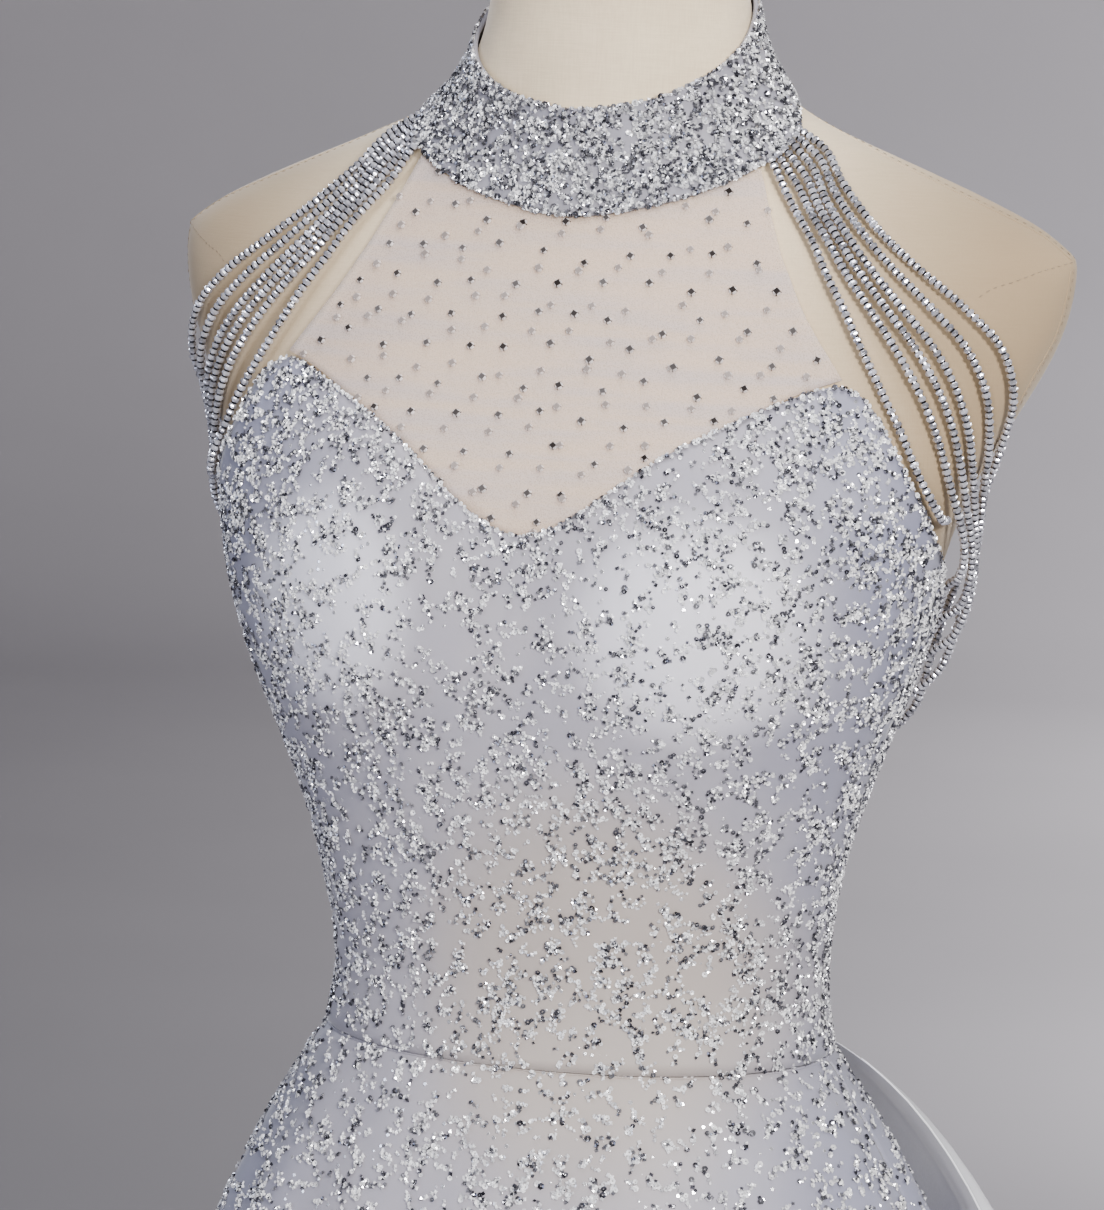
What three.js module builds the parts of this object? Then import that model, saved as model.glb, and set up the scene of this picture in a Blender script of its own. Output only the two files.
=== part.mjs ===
// A beaded halter evening gown standing on a limbless dress form.
// Sizes are in millimetres. +Z is up, the front faces -Y, and the origin is under the middle of the stand.
import * as THREE from "three";

// Cloth and seams
const SEAM = 0.3;
const CLEAR = 1.8;
const COLLAR_CLEAR = 1.4;
const BEADED_CLOTH = 2;
const NET_CLOTH = 1.2;
const ORGANZA_CLOTH = 1.2;

// Heights of the gown
const WAIST_SEAM = 1022;
const HEM = 15;

// Turns round the body, in degrees from the front
const SIDE_SEAM = 90;
const BACK_SEAM = 180;
const SEAM_TURN = 0.22;
const CORNER_TURN = 40;
const COLLAR_SLIT_TURN = 0.6;
const ORGANZA_EDGE = 118;

// The end of the yoke on the collar's lower edge, as a bearing round the neck
const YOKE_TOP_BEARING = 57;

// Back edge of the bodice
const BACK_EDGE_LOW = 1100;
const BACK_EDGE_SIDE = 1248;
const BACK_EDGE_POWER = 1.6;

// Bust of the form, added to its level sections
const BUST = { side: 78, height: 1228, rise: 10, wide: 48, tall: 58, fade: 3 };

// Columns and rows of each wall of cloth, and how the closer columns and rows are shared out
const TORSO_COLUMNS = 36;
const COLLAR_GRID = { columns: 32, rows: 4 };
const YOKE_GRID = { columns: 14, rows: 9 };
const FRONT_GRID = { columns: 28, rows: 13 };
const BACK_GRID = { columns: 10, rows: 9 };
const SKIRT_FRONT_GRID = { columns: 36, rows: 8 };
const SKIRT_BACK_GRID = { columns: 18, rows: 8 };
const ORGANZA_GRID = { columns: 32, rows: 8 };
const CORNER_SHARE = 0.5;
const SKIRT_ROW_POWER = 1.8;

// Steps for the slope of a surface, and halvings for a point of the form at a bearing
const SLOPE_STEP = 0.002;
const HALVINGS = 30;

// Stand
const NECK_CAP = { radius: 54, middle: 0.5, thick: 14, edge: 3, segments: 28 };
const POLE = { radius: 14, segments: 16 };
const BASE = { radius: 170, rim: 8, shoulder: 13, crown: 26, boss: 24, top: 34, segments: 36 };

// Bead strands
const STRAND_DIAMETER = 4.2;
const STRAND_SIDES = 8;
const STRAND_STEP = 12.6;

const FINISH = {
  beaded: { color: 0xb9b8bf, roughness: 0.4, metalness: 0.3 },
  net: { color: 0xb4aca6, roughness: 0.7 },
  organza: { color: 0xc4c2cc, roughness: 0.5 },
  strand: { color: 0xa9a7ae, roughness: 0.3, metalness: 0.6 },
  linen: { color: 0xdccdb6, roughness: 0.9 },
  cap: { color: 0x8a8078, roughness: 0.6 },
  metal: { color: 0x8d8f92, roughness: 0.4, metalness: 0.9 },
};

// Level sections of the form: half width, depth in front of and behind the widest line, and squareness
const FORM_LEVELS = [
  { z: 820, wide: 146, mid: 8, front: 106, back: 112, square: 2.2 },
  { z: 850, wide: 155, mid: 8, front: 110, back: 116, square: 2.2 },
  { z: 900, wide: 154, mid: 7, front: 108, back: 117, square: 2.2 },
  { z: 950, wide: 143, mid: 5, front: 99, back: 110, square: 2.15 },
  { z: 1000, wide: 124, mid: 2, front: 89, back: 95, square: 2.1 },
  { z: 1025, wide: 113, mid: 0, front: 84, back: 86, square: 2.1 },
  { z: 1050, wide: 109, mid: 0, front: 82, back: 82, square: 2.1 },
  { z: 1100, wide: 115.5, mid: -9, front: 81, back: 89, square: 2.1 },
  { z: 1150, wide: 130, mid: -15, front: 87, back: 97, square: 2.15 },
  { z: 1190, wide: 146, mid: -22, front: 88, back: 108, square: 2.2 },
  { z: 1230, wide: 158, mid: -25, front: 85, back: 120, square: 2.3 },
  { z: 1270, wide: 167, mid: -18, front: 86, back: 116, square: 2.3 },
  { z: 1300, wide: 181, mid: 0, front: 92, back: 100, square: 2.2 },
  { z: 1340, wide: 204, mid: 16, front: 90, back: 82, square: 2 },
  { z: 1367, wide: 210, mid: 19, front: 81, back: 73, square: 1.85 },
  { z: 1382, wide: 210, mid: 20, front: 76, back: 66, square: 1.7 },
  { z: 1392, wide: 197, mid: 22, front: 75, back: 60, square: 1.6 },
  { z: 1401, wide: 180, mid: 23, front: 74, back: 56, square: 1.5 },
  { z: 1414, wide: 150, mid: 22, front: 71, back: 54, square: 1.45 },
  { z: 1428, wide: 115, mid: 20, front: 68, back: 53, square: 1.5 },
  { z: 1440, wide: 88, mid: 17, front: 64, back: 53, square: 1.65 },
  { z: 1450, wide: 75, mid: 14, front: 60.5, back: 53, square: 1.85 },
  { z: 1465, wide: 65, mid: 11, front: 58, back: 54, square: 2 },
  { z: 1480, wide: 60, mid: 9, front: 56.5, back: 54, square: 2 },
  { z: 1500, wide: 57, mid: 6, front: 56, back: 54.5, square: 2 },
  { z: 1550, wide: 55, mid: 0, front: 54, back: 55, square: 2 },
];

// Top edge of the bodice's front: the sweetheart line up to the corner, then the armhole down to the side
const BODICE_TOP = [
  { turn: 0, z: 1254 },
  { turn: 5, z: 1263 },
  { turn: 10, z: 1276 },
  { turn: 18, z: 1295 },
  { turn: 27, z: 1310 },
  { turn: 40, z: 1327 },
  { turn: 48, z: 1311 },
  { turn: 58, z: 1291 },
  { turn: 70, z: 1274 },
  { turn: 80, z: 1261 },
  { turn: 90, z: 1248 },
];

// Lower and upper edges of the stand collar, by bearing round the neck from the front
const COLLAR_EDGES = [
  { bearing: 0, low: 1392, top: 1439 },
  { bearing: 30, low: 1399, top: 1445 },
  { bearing: 60, low: 1418, top: 1461 },
  { bearing: 90, low: 1448, top: 1482 },
  { bearing: 120, low: 1464, top: 1502 },
  { bearing: 150, low: 1474, top: 1516 },
  { bearing: 180, low: 1478, top: 1520 },
];

// Level sections of the beaded skirt below its seam
const SKIRT_LEVELS = [
  { z: 15, wide: 405, mid: 5, front: 330, back: 372, square: 2 },
  { z: 300, wide: 342, mid: 5, front: 268, back: 300, square: 2 },
  { z: 600, wide: 268, mid: 5, front: 198, back: 222, square: 2 },
  { z: 850, wide: 190, mid: 5, front: 130, back: 150, square: 2 },
  { z: 948, wide: 157, mid: 4, front: 107, back: 121, square: 2.04 },
  { z: 972, wide: 145, mid: 3, front: 101, back: 112, square: 2.06 },
  { z: 999, wide: 128, mid: 1, front: 93, back: 100, square: 2.08 },
];

// Soft folds of the skirt: where each ridge lies, how deep it is at the hem and how wide it is in degrees
const SKIRT_FOLDS = [
  { turn: -158, deep: 40, wide: 9 },
  { turn: -131, deep: 46, wide: 10 },
  { turn: -108, deep: 38, wide: 8 },
  { turn: -86, deep: 14, wide: 7 },
  { turn: -66, deep: 20, wide: 7 },
  { turn: -47, deep: 30, wide: 7 },
  { turn: -26, deep: 22, wide: 9 },
  { turn: -4, deep: 16, wide: 10 },
  { turn: 24, deep: 26, wide: 9 },
  { turn: 51, deep: 38, wide: 8 },
  { turn: 74, deep: 46, wide: 7 },
  { turn: 98, deep: 40, wide: 8 },
  { turn: 126, deep: 48, wide: 10 },
  { turn: 153, deep: 42, wide: 9 },
  { turn: 180, deep: 44, wide: 9 },
];
const FOLD_HALF_FALL = 250;

// How far the organza stands out past the beaded skirt, by height
const ORGANZA_FLARE = [
  { z: 15, out: 62 },
  { z: 500, out: 46 },
  { z: 850, out: 36 },
  { z: 944, out: 32 },
  { z: 963, out: 31 },
  { z: 980, out: 27 },
  { z: 999, out: 21 },
  { z: 1012, out: 14 },
  { z: 1022, out: 0.4 },
];

// The six strands of a side from the innermost to the outermost: where each leaves the collar's lower edge,
// where it meets the back of the bodice, and its share of the spread over the shoulder and low at the side
const STRANDS = [
  { start: [84.8, -30.5, 1416.5], end: [168.2, -33, 1269.2], share: 0, low: 0 },
  { start: [86.9, -26.1, 1419.2], end: [157, 4.2, 1223], share: 0.24, low: 0.3 },
  { start: [89, -21.8, 1422.1], end: [145.8, 20.2, 1202.8], share: 0.385, low: 0.46 },
  { start: [90.9, -17.6, 1425.2], end: [134.1, 31.8, 1187], share: 0.52, low: 0.62 },
  { start: [91.9, -13.1, 1428.5], end: [118.7, 44.3, 1170.9], share: 0.75, low: 0.81 },
  { start: [92.3, -8.6, 1431.8], end: [102.2, 55.3, 1156], share: 1, low: 1 },
];

// The ways of the innermost and the outermost strand, each as turn from the front, reach from the upright axis
// and height, and how much further out the strands between them run
const STRAND_WAY = [
  { inner: [70, 97.4, 1405], outer: [84.2, 102, 1425.5], bulge: 1.2 },
  { inner: [68.9, 106.6, 1394.5], outer: [80.3, 114.2, 1411], bulge: 0 },
  { inner: [68, 114.9, 1385], outer: [77.6, 133.4, 1393], bulge: -0.3 },
  { inner: [67.4, 122.6, 1373.7], outer: [77.8, 152, 1378], bulge: -1.2 },
  { inner: [67.1, 134.4, 1357.2], outer: [79.7, 173.4, 1361], bulge: -1.4 },
  { inner: [67.2, 142.4, 1344.4], outer: [82.6, 188.5, 1343], bulge: 0 },
  { inner: [67.8, 149.8, 1331.5], outer: [84.9, 192, 1323], bulge: 3.7 },
  { inner: [68.4, 156.8, 1319], outer: [88, 184.8, 1300], bulge: 8.2 },
  { inner: [69.3, 163, 1306.5], outer: [92.5, 174, 1275], bulge: 10.4 },
  { inner: [70.4, 168.3, 1293], outer: [97.5, 166.5, 1248], bulge: 9.8 },
  { inner: [71.7, 173, 1281.5], outer: [103, 158, 1223], bulge: 10 },
  { inner: [73.4, 174.6, 1274.5], outer: [107, 152, 1199], bulge: 9 },
  { inner: [75, 174.6, 1270.3], outer: [111, 147, 1176], bulge: 5 },
  { inner: [76.4, 173.6, 1269.6], outer: [114.8, 134, 1161], bulge: 1 },
];
const STRAND_FAN_ROWS = 5;

function lerp(from, to, share) {
  return from + (to - from) * share;
}

// Slope at a row of a table, limited so that the curve never swings past its rows
function slopeAt(table, key, column, i) {
  if (i === 0 || i === table.length - 1) {
    return 0;
  }
  const before = (table[i][column] - table[i - 1][column]) / (table[i][key] - table[i - 1][key]);
  const after = (table[i + 1][column] - table[i][column]) / (table[i + 1][key] - table[i][key]);
  if (before * after <= 0) {
    return 0;
  }
  return (2 * before * after) / (before + after);
}

// All columns of a table at a value of its key column, on a smooth curve through the rows
function readTable(table, key, value) {
  const last = table.length - 1;
  const at = THREE.MathUtils.clamp(value, table[0][key], table[last][key]);
  let i = 0;
  while (i < last - 1 && at > table[i + 1][key]) {
    i += 1;
  }
  const span = table[i + 1][key] - table[i][key];
  const t = (at - table[i][key]) / span;
  const row = {};
  for (const column of Object.keys(table[i])) {
    const a = table[i][column];
    const b = table[i + 1][column];
    const slopeA = slopeAt(table, key, column, i) * span;
    const slopeB = slopeAt(table, key, column, i + 1) * span;
    const t2 = t * t;
    const t3 = t2 * t;
    row[column] =
      (2 * t3 - 3 * t2 + 1) * a + (t3 - 2 * t2 + t) * slopeA + (3 * t2 - 2 * t3) * b + (t3 - t2) * slopeB;
  }
  return row;
}

// A point on a level section, at a turn from the front
function sectionPoint(row, turn, z) {
  const angle = THREE.MathUtils.degToRad(turn);
  const power = 2 / row.square;
  const side = Math.sin(angle);
  const ahead = Math.cos(angle);
  const x = row.wide * Math.sign(side) * Math.abs(side) ** power;
  const depth = ahead > 0 ? -row.front : row.back;
  return new THREE.Vector3(x, row.mid + depth * Math.abs(ahead) ** power, z);
}

// The surface of the form
function formPoint(turn, z) {
  const point = sectionPoint(readTable(FORM_LEVELS, "z", z), turn, z);
  const ahead = Math.cos(THREE.MathUtils.degToRad(turn));
  if (ahead > 0) {
    const across = (Math.abs(point.x) - BUST.side) / BUST.wide;
    const along = (z - BUST.height) / BUST.tall;
    point.y -= BUST.rise * Math.min(1, BUST.fade * ahead) * Math.exp(-across * across - along * along);
  }
  return point;
}

// The turn at which the form's front passes a given x
function turnAt(x, z) {
  const row = readTable(FORM_LEVELS, "z", z);
  const share = Math.min(1, Math.abs(x) / row.wide);
  return Math.sign(x) * THREE.MathUtils.radToDeg(Math.asin(share ** (row.square / 2)));
}

// The form's surface in a direction seen from the middle of the neck
function formAtBearing(bearing, z) {
  const middle = readTable(FORM_LEVELS, "z", z).mid;
  let low = 0;
  let high = 180;
  for (let i = 0; i < HALVINGS; i += 1) {
    const turn = (low + high) / 2;
    const point = formPoint(turn, z);
    const reached = THREE.MathUtils.radToDeg(Math.atan2(point.x, middle - point.y));
    if (reached < Math.abs(bearing)) {
      low = turn;
    } else {
      high = turn;
    }
  }
  return formPoint(Math.sign(bearing) * low, z);
}

// Moves a point of a surface out along its normal, or level with the floor where the cloth hangs from a seam
function liftedPoint(surface, u, v, lift, level) {
  const across = surface(u + SLOPE_STEP, v).sub(surface(u - SLOPE_STEP, v));
  const up = () => surface(u, v + SLOPE_STEP).sub(surface(u, v - SLOPE_STEP));
  const along = level ? new THREE.Vector3(0, 0, 1) : up();
  const normal = across.cross(along).normalize();
  return surface(u, v).addScaledVector(normal, lift);
}

// A closed wall of cloth: a box of columns and rows laid on a surface, with u across, v up and its depth outwards
function clothWall(surface, { columns, rows, inner, thick, level = false }) {
  const geometry = new THREE.BoxGeometry(1, 1, 1, columns, rows, 1);
  const position = geometry.attributes.position;
  for (let i = 0; i < position.count; i += 1) {
    const u = position.getX(i) + 0.5;
    const v = position.getY(i) + 0.5;
    const lift = inner + thick * (position.getZ(i) + 0.5);
    const point = liftedPoint(surface, u, v, lift, level);
    position.setXYZ(i, point.x, point.y, point.z);
  }
  geometry.computeVertexNormals();
  return geometry;
}

function namedMesh(name, geometry, finish) {
  const mesh = new THREE.Mesh(geometry, new THREE.MeshStandardMaterial(finish));
  mesh.name = name;
  return mesh;
}

// Heights of the torso's rows: those of its sections, with one more between each two under the collar
function torsoHeights() {
  const heights = [];
  FORM_LEVELS.forEach((row, i) => {
    heights.push(row.z);
    const next = FORM_LEVELS[i + 1];
    if (row.z >= COLLAR_EDGES[0].low && next) {
      heights.push((row.z + next.z) / 2);
    }
  });
  return heights;
}

// The dress form's body, open to nothing and closed flat below the hips and above the neck
function makeTorso() {
  const heights = torsoHeights();
  const rows = heights.length - 1;
  const geometry = new THREE.CylinderGeometry(1, 1, 1, TORSO_COLUMNS, rows);
  const position = geometry.attributes.position;
  for (let i = 0; i < position.count; i += 1) {
    const z = heights[Math.round((position.getY(i) + 0.5) * rows)];
    const side = position.getX(i);
    const ahead = position.getZ(i);
    const onRim = Math.hypot(side, ahead) > 0.5;
    const turn = THREE.MathUtils.radToDeg(Math.atan2(side, ahead));
    const middle = readTable(FORM_LEVELS, "z", z).mid;
    const point = onRim ? formPoint(turn, z) : new THREE.Vector3(0, middle, z);
    position.setXYZ(i, point.x, point.y, point.z);
  }
  geometry.computeVertexNormals();
  return namedMesh("form_torso", geometry, FINISH.linen);
}

// A round piece from a profile of radius and height, turned upright
function turned(profile, segments) {
  const points = profile.map(([radius, height]) => new THREE.Vector2(radius, height));
  return new THREE.LatheGeometry(points, segments).rotateX(Math.PI / 2);
}

function makeNeckCap() {
  const { radius, middle, thick, edge, segments } = NECK_CAP;
  const seat = FORM_LEVELS[FORM_LEVELS.length - 1].z + SEAM;
  const profile = [
    [0, 0],
    [radius - edge, 0],
    [radius, edge],
    [radius, thick - 2 * edge],
    [radius - edge, thick - edge],
    [radius / 2, thick - edge / 3],
    [0, thick],
  ];
  const mesh = namedMesh("neck_cap", turned(profile, segments), FINISH.cap);
  mesh.position.set(0, middle, seat);
  return mesh;
}

function makePole() {
  const foot = BASE.top + SEAM;
  const height = FORM_LEVELS[0].z - SEAM - foot;
  const geometry = new THREE.CylinderGeometry(POLE.radius, POLE.radius, height, POLE.segments);
  const mesh = namedMesh("stand_pole", geometry.rotateX(Math.PI / 2), FINISH.metal);
  mesh.position.set(0, 0, foot + height / 2);
  return mesh;
}

function makeBase() {
  const { radius, rim, shoulder, crown, boss, top, segments } = BASE;
  const profile = [
    [0, 0],
    [radius, 0],
    [radius, rim],
    [radius - rim, shoulder],
    [radius / 2, crown - rim / 2],
    [boss + rim / 2, crown],
    [boss, top],
    [0, top],
  ];
  return namedMesh("stand_base", turned(profile, segments), FINISH.metal);
}

function collarEdge(bearing) {
  return readTable(COLLAR_EDGES, "bearing", Math.abs(bearing));
}

function makeCollar() {
  const reach = BACK_SEAM - COLLAR_SLIT_TURN;
  const surface = (u, v) => {
    const bearing = lerp(-reach, reach, u);
    const edge = collarEdge(bearing);
    return formAtBearing(bearing, lerp(edge.low, edge.top, v));
  };
  const wall = clothWall(surface, { ...COLLAR_GRID, inner: COLLAR_CLEAR, thick: BEADED_CLOTH });
  return namedMesh("collar", wall, FINISH.beaded);
}

function bodiceTop(turn) {
  return readTable(BODICE_TOP, "turn", Math.abs(turn)).z;
}

// The yoke runs from the sweetheart line to the collar, with straight armhole edges
function makeYoke() {
  const surface = (u, v) => {
    const side = lerp(-1, 1, u);
    const low = formPoint(side * CORNER_TURN, bodiceTop(side * CORNER_TURN) + SEAM);
    const bearing = side * YOKE_TOP_BEARING;
    const high = formAtBearing(bearing, collarEdge(bearing).low - SEAM);
    const x = lerp(low.x, high.x, v);
    const z = lerp(low.z, high.z, v);
    return formPoint(turnAt(x, z), z);
  };
  const wall = clothWall(surface, { ...YOKE_GRID, inner: CLEAR, thick: NET_CLOTH });
  return namedMesh("yoke", wall, FINISH.net);
}

// Turns of the front's columns: closer from the middle to the corners than from there to the side seams
function frontTurn(u) {
  const side = Math.sign(u - 0.5);
  const share = Math.abs(2 * u - 1);
  if (share < CORNER_SHARE) {
    return side * lerp(0, CORNER_TURN, share / CORNER_SHARE);
  }
  return side * lerp(CORNER_TURN, SIDE_SEAM - SEAM_TURN, (share - CORNER_SHARE) / (1 - CORNER_SHARE));
}

function makeBodiceFront() {
  const surface = (u, v) => {
    const turn = frontTurn(u);
    return formPoint(turn, lerp(WAIST_SEAM + SEAM / 2, bodiceTop(turn), v));
  };
  const wall = clothWall(surface, { ...FRONT_GRID, inner: CLEAR, thick: BEADED_CLOTH });
  return namedMesh("bodice_front", wall, FINISH.beaded);
}

function backEdge(turn) {
  const share = (BACK_SEAM - Math.abs(turn)) / (BACK_SEAM - SIDE_SEAM);
  return BACK_EDGE_LOW + (BACK_EDGE_SIDE - BACK_EDGE_LOW) * Math.max(0, share) ** BACK_EDGE_POWER;
}

// Turns from a side seam to the back seam, always rising with u so that the wall faces out
function backTurn(side, u) {
  const from = side > 0 ? SIDE_SEAM + SEAM_TURN : -BACK_SEAM + SEAM_TURN;
  return lerp(from, from + BACK_SEAM - SIDE_SEAM - 2 * SEAM_TURN, u);
}

function makeBodiceBack(side, name) {
  const surface = (u, v) => {
    const turn = backTurn(side, u);
    return formPoint(turn, lerp(WAIST_SEAM + SEAM / 2, backEdge(turn), v));
  };
  const wall = clothWall(surface, { ...BACK_GRID, inner: CLEAR, thick: BEADED_CLOTH });
  return namedMesh(name, wall, FINISH.beaded);
}

// Ridges of the soft folds, in millimetres at the hem
function foldHeight(turn) {
  let height = 0;
  for (const fold of SKIRT_FOLDS) {
    const away = THREE.MathUtils.euclideanModulo(turn - fold.turn + 180, 360) - 180;
    height += fold.deep * Math.exp(-((away / fold.wide) ** 2));
  }
  return height;
}

// The beaded skirt: the form's own section at the seam, then flaring level sections with folds
function skirtPoint(turn, z) {
  const top = { ...readTable(FORM_LEVELS, "z", WAIST_SEAM), z: WAIST_SEAM };
  const row = readTable([...SKIRT_LEVELS, top], "z", z);
  const point = sectionPoint(row, turn, z);
  const fall = WAIST_SEAM - z;
  const grown = foldHeight(turn) * (fall / (fall + FOLD_HALF_FALL));
  const outward = new THREE.Vector3(point.x, point.y - row.mid, 0).normalize();
  return point.addScaledVector(outward, grown);
}

// Heights of the skirt's rows, closer together below the waist
function skirtHeight(v) {
  const top = WAIST_SEAM - SEAM / 2;
  return top - (top - HEM) * (1 - v) ** SKIRT_ROW_POWER;
}

function makeSkirtPanel(name, turnOf, grid) {
  const surface = (u, v) => skirtPoint(turnOf(u), skirtHeight(v));
  const wall = clothWall(surface, { ...grid, inner: CLEAR, thick: BEADED_CLOTH, level: true });
  return namedMesh(name, wall, FINISH.beaded);
}

// The organza hangs from the waist seam round the back, outside the beaded skirt
function makeOverskirt() {
  const from = ORGANZA_EDGE;
  const to = 2 * BACK_SEAM - from;
  const surface = (u, v) => {
    const turn = lerp(from, to, u);
    const z = skirtHeight(v);
    const out = readTable(ORGANZA_FLARE, "z", z).out;
    const point = skirtPoint(turn, z);
    const outward = new THREE.Vector3(point.x, point.y, 0).normalize();
    return point.addScaledVector(outward, out);
  };
  const inner = CLEAR + BEADED_CLOTH;
  const wall = clothWall(surface, { ...ORGANZA_GRID, inner, thick: ORGANZA_CLOTH, level: true });
  return namedMesh("overskirt", wall, FINISH.organza);
}

// The points that a strand follows on the wearer's left (+X), from the collar to the back of the bodice
function strandPoints(i) {
  const { start, end, share, low } = STRANDS[i];
  const high = i / (STRANDS.length - 1);
  const last = STRAND_WAY.length - 1;
  const points = STRAND_WAY.map((row, k) => {
    const opened = Math.min(1, (k + 1) / STRAND_FAN_ROWS);
    const gathered = Math.max(0, 1 - (last - k) / STRAND_FAN_ROWS);
    const spread = lerp(lerp(high, share, opened), low, gathered);
    const [turn, reach, z] = row.inner.map((value, n) => lerp(value, row.outer[n], spread));
    const angle = THREE.MathUtils.degToRad(turn);
    const bulge = 4 * row.bulge * spread * (1 - spread);
    return new THREE.Vector3(Math.sin(angle), -Math.cos(angle), 0).multiplyScalar(reach + bulge).setZ(z);
  });
  return [new THREE.Vector3(...start), ...points, new THREE.Vector3(...end)];
}

function makeStrand(i, side, name) {
  const points = strandPoints(i).map((p) => new THREE.Vector3(side * p.x, p.y, p.z));
  const path = new THREE.CatmullRomCurve3(points);
  const corners = Array.from({ length: STRAND_SIDES }, (_, k) => {
    const angle = (2 * Math.PI * k) / STRAND_SIDES;
    return new THREE.Vector2(Math.cos(angle), Math.sin(angle)).multiplyScalar(STRAND_DIAMETER / 2);
  });
  const steps = Math.round(path.getLength() / STRAND_STEP);
  const options = { steps, bevelEnabled: false, extrudePath: path };
  const geometry = new THREE.ExtrudeGeometry(new THREE.Shape(corners), options);
  return namedMesh(name, geometry, FINISH.strand);
}

function makeStrands() {
  const strands = new THREE.Group();
  STRANDS.forEach((_, i) => {
    strands.add(makeStrand(i, -1, `strand_right_${i + 1}`));
    strands.add(makeStrand(i, 1, `strand_left_${i + 1}`));
  });
  return strands;
}

function makeGown() {
  const gown = new THREE.Group();
  gown.add(makeCollar());
  gown.add(makeYoke());
  gown.add(makeBodiceFront());
  gown.add(makeBodiceBack(-1, "bodice_back_right"));
  gown.add(makeBodiceBack(1, "bodice_back_left"));
  const reach = SIDE_SEAM - SEAM_TURN;
  gown.add(makeSkirtPanel("skirt_front", (u) => lerp(-reach, reach, u), SKIRT_FRONT_GRID));
  gown.add(makeSkirtPanel("skirt_back_right", (u) => backTurn(-1, u), SKIRT_BACK_GRID));
  gown.add(makeSkirtPanel("skirt_back_left", (u) => backTurn(1, u), SKIRT_BACK_GRID));
  gown.add(makeOverskirt());
  return gown;
}

function makeDressForm() {
  const form = new THREE.Group();
  form.add(makeTorso());
  form.add(makeNeckCap());
  form.add(makePole());
  form.add(makeBase());
  return form;
}

const part = new THREE.Group();
part.add(makeDressForm());
part.add(makeGown());
part.add(makeStrands());

export default part;
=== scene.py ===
"""A beaded halter evening gown on a limbless dress form, in a studio. Sizes are in metres."""

import logging
import math
from dataclasses import dataclass, field
from enum import Enum
from typing import Callable, Sequence

import bmesh
import bpy
import numpy as np
from mathutils import Matrix, Vector
from mathutils.bvhtree import BVHTree


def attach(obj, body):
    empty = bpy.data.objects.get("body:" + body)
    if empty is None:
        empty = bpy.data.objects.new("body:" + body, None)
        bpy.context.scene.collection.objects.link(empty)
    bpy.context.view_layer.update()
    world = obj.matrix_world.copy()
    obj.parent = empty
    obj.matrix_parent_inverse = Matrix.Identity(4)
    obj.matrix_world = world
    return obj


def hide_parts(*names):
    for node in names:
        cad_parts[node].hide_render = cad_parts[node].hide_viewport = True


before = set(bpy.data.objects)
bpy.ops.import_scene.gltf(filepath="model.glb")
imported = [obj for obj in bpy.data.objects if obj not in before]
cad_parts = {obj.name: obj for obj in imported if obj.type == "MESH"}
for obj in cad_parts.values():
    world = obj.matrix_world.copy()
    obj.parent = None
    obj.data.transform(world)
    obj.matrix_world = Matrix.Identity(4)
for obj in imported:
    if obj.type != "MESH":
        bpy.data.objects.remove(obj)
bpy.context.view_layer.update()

MM = 0.001
log = logging.getLogger("gown")

Colour = tuple[float, float, float]
Density = Callable[[np.ndarray], np.ndarray]


class Slot(Enum):
    """Names of the material slots."""

    BEADED = "beaded_fabric"
    NET = "illusion_net"
    ORGANZA = "organza"
    STRAND = "bead_strand"
    LINEN = "linen"
    CAP = "neck_cap"
    METAL = "stand_metal"


class Value:
    """A node's output, whose Python operators add Math nodes."""

    def __init__(self, shader: "Shader", socket: bpy.types.NodeSocket) -> None:
        """Keeps the shader and the socket.

        Args:
            shader: the material's node builder.
            socket: the output that this value stands for.
        """
        self.shader = shader
        self.socket = socket

    def math(self, operation: str, *others: "Value | float") -> "Value":
        """Adds a Math node with this value first.

        Args:
            operation: the Math node's operation.
            others: the values of its other sockets.

        Returns:
            The node's result.
        """
        return self.shader.math(operation, self, *others)

    def __add__(self, other: "Value | float") -> "Value":
        """This plus other."""
        return self.math("ADD", other)

    __radd__ = __add__

    def __mul__(self, other: "Value | float") -> "Value":
        """This times other."""
        return self.math("MULTIPLY", other)

    __rmul__ = __mul__

    def __sub__(self, other: "Value | float") -> "Value":
        """This less other."""
        return self.math("SUBTRACT", other)

    def __rsub__(self, other: "Value | float") -> "Value":
        """Other less this."""
        return self.shader.math("SUBTRACT", other, self)

    def __truediv__(self, other: "Value | float") -> "Value":
        """This divided by other."""
        return self.math("DIVIDE", other)

    def smooth(self, low: float, high: float) -> "Value":
        """A soft step from 0 at low to 1 at high."""
        limits = {"From Min": low, "From Max": high, "Value": self}
        return self.shader.node("ShaderNodeMapRange", {"interpolation_type": "SMOOTHSTEP"}, limits)


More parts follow.
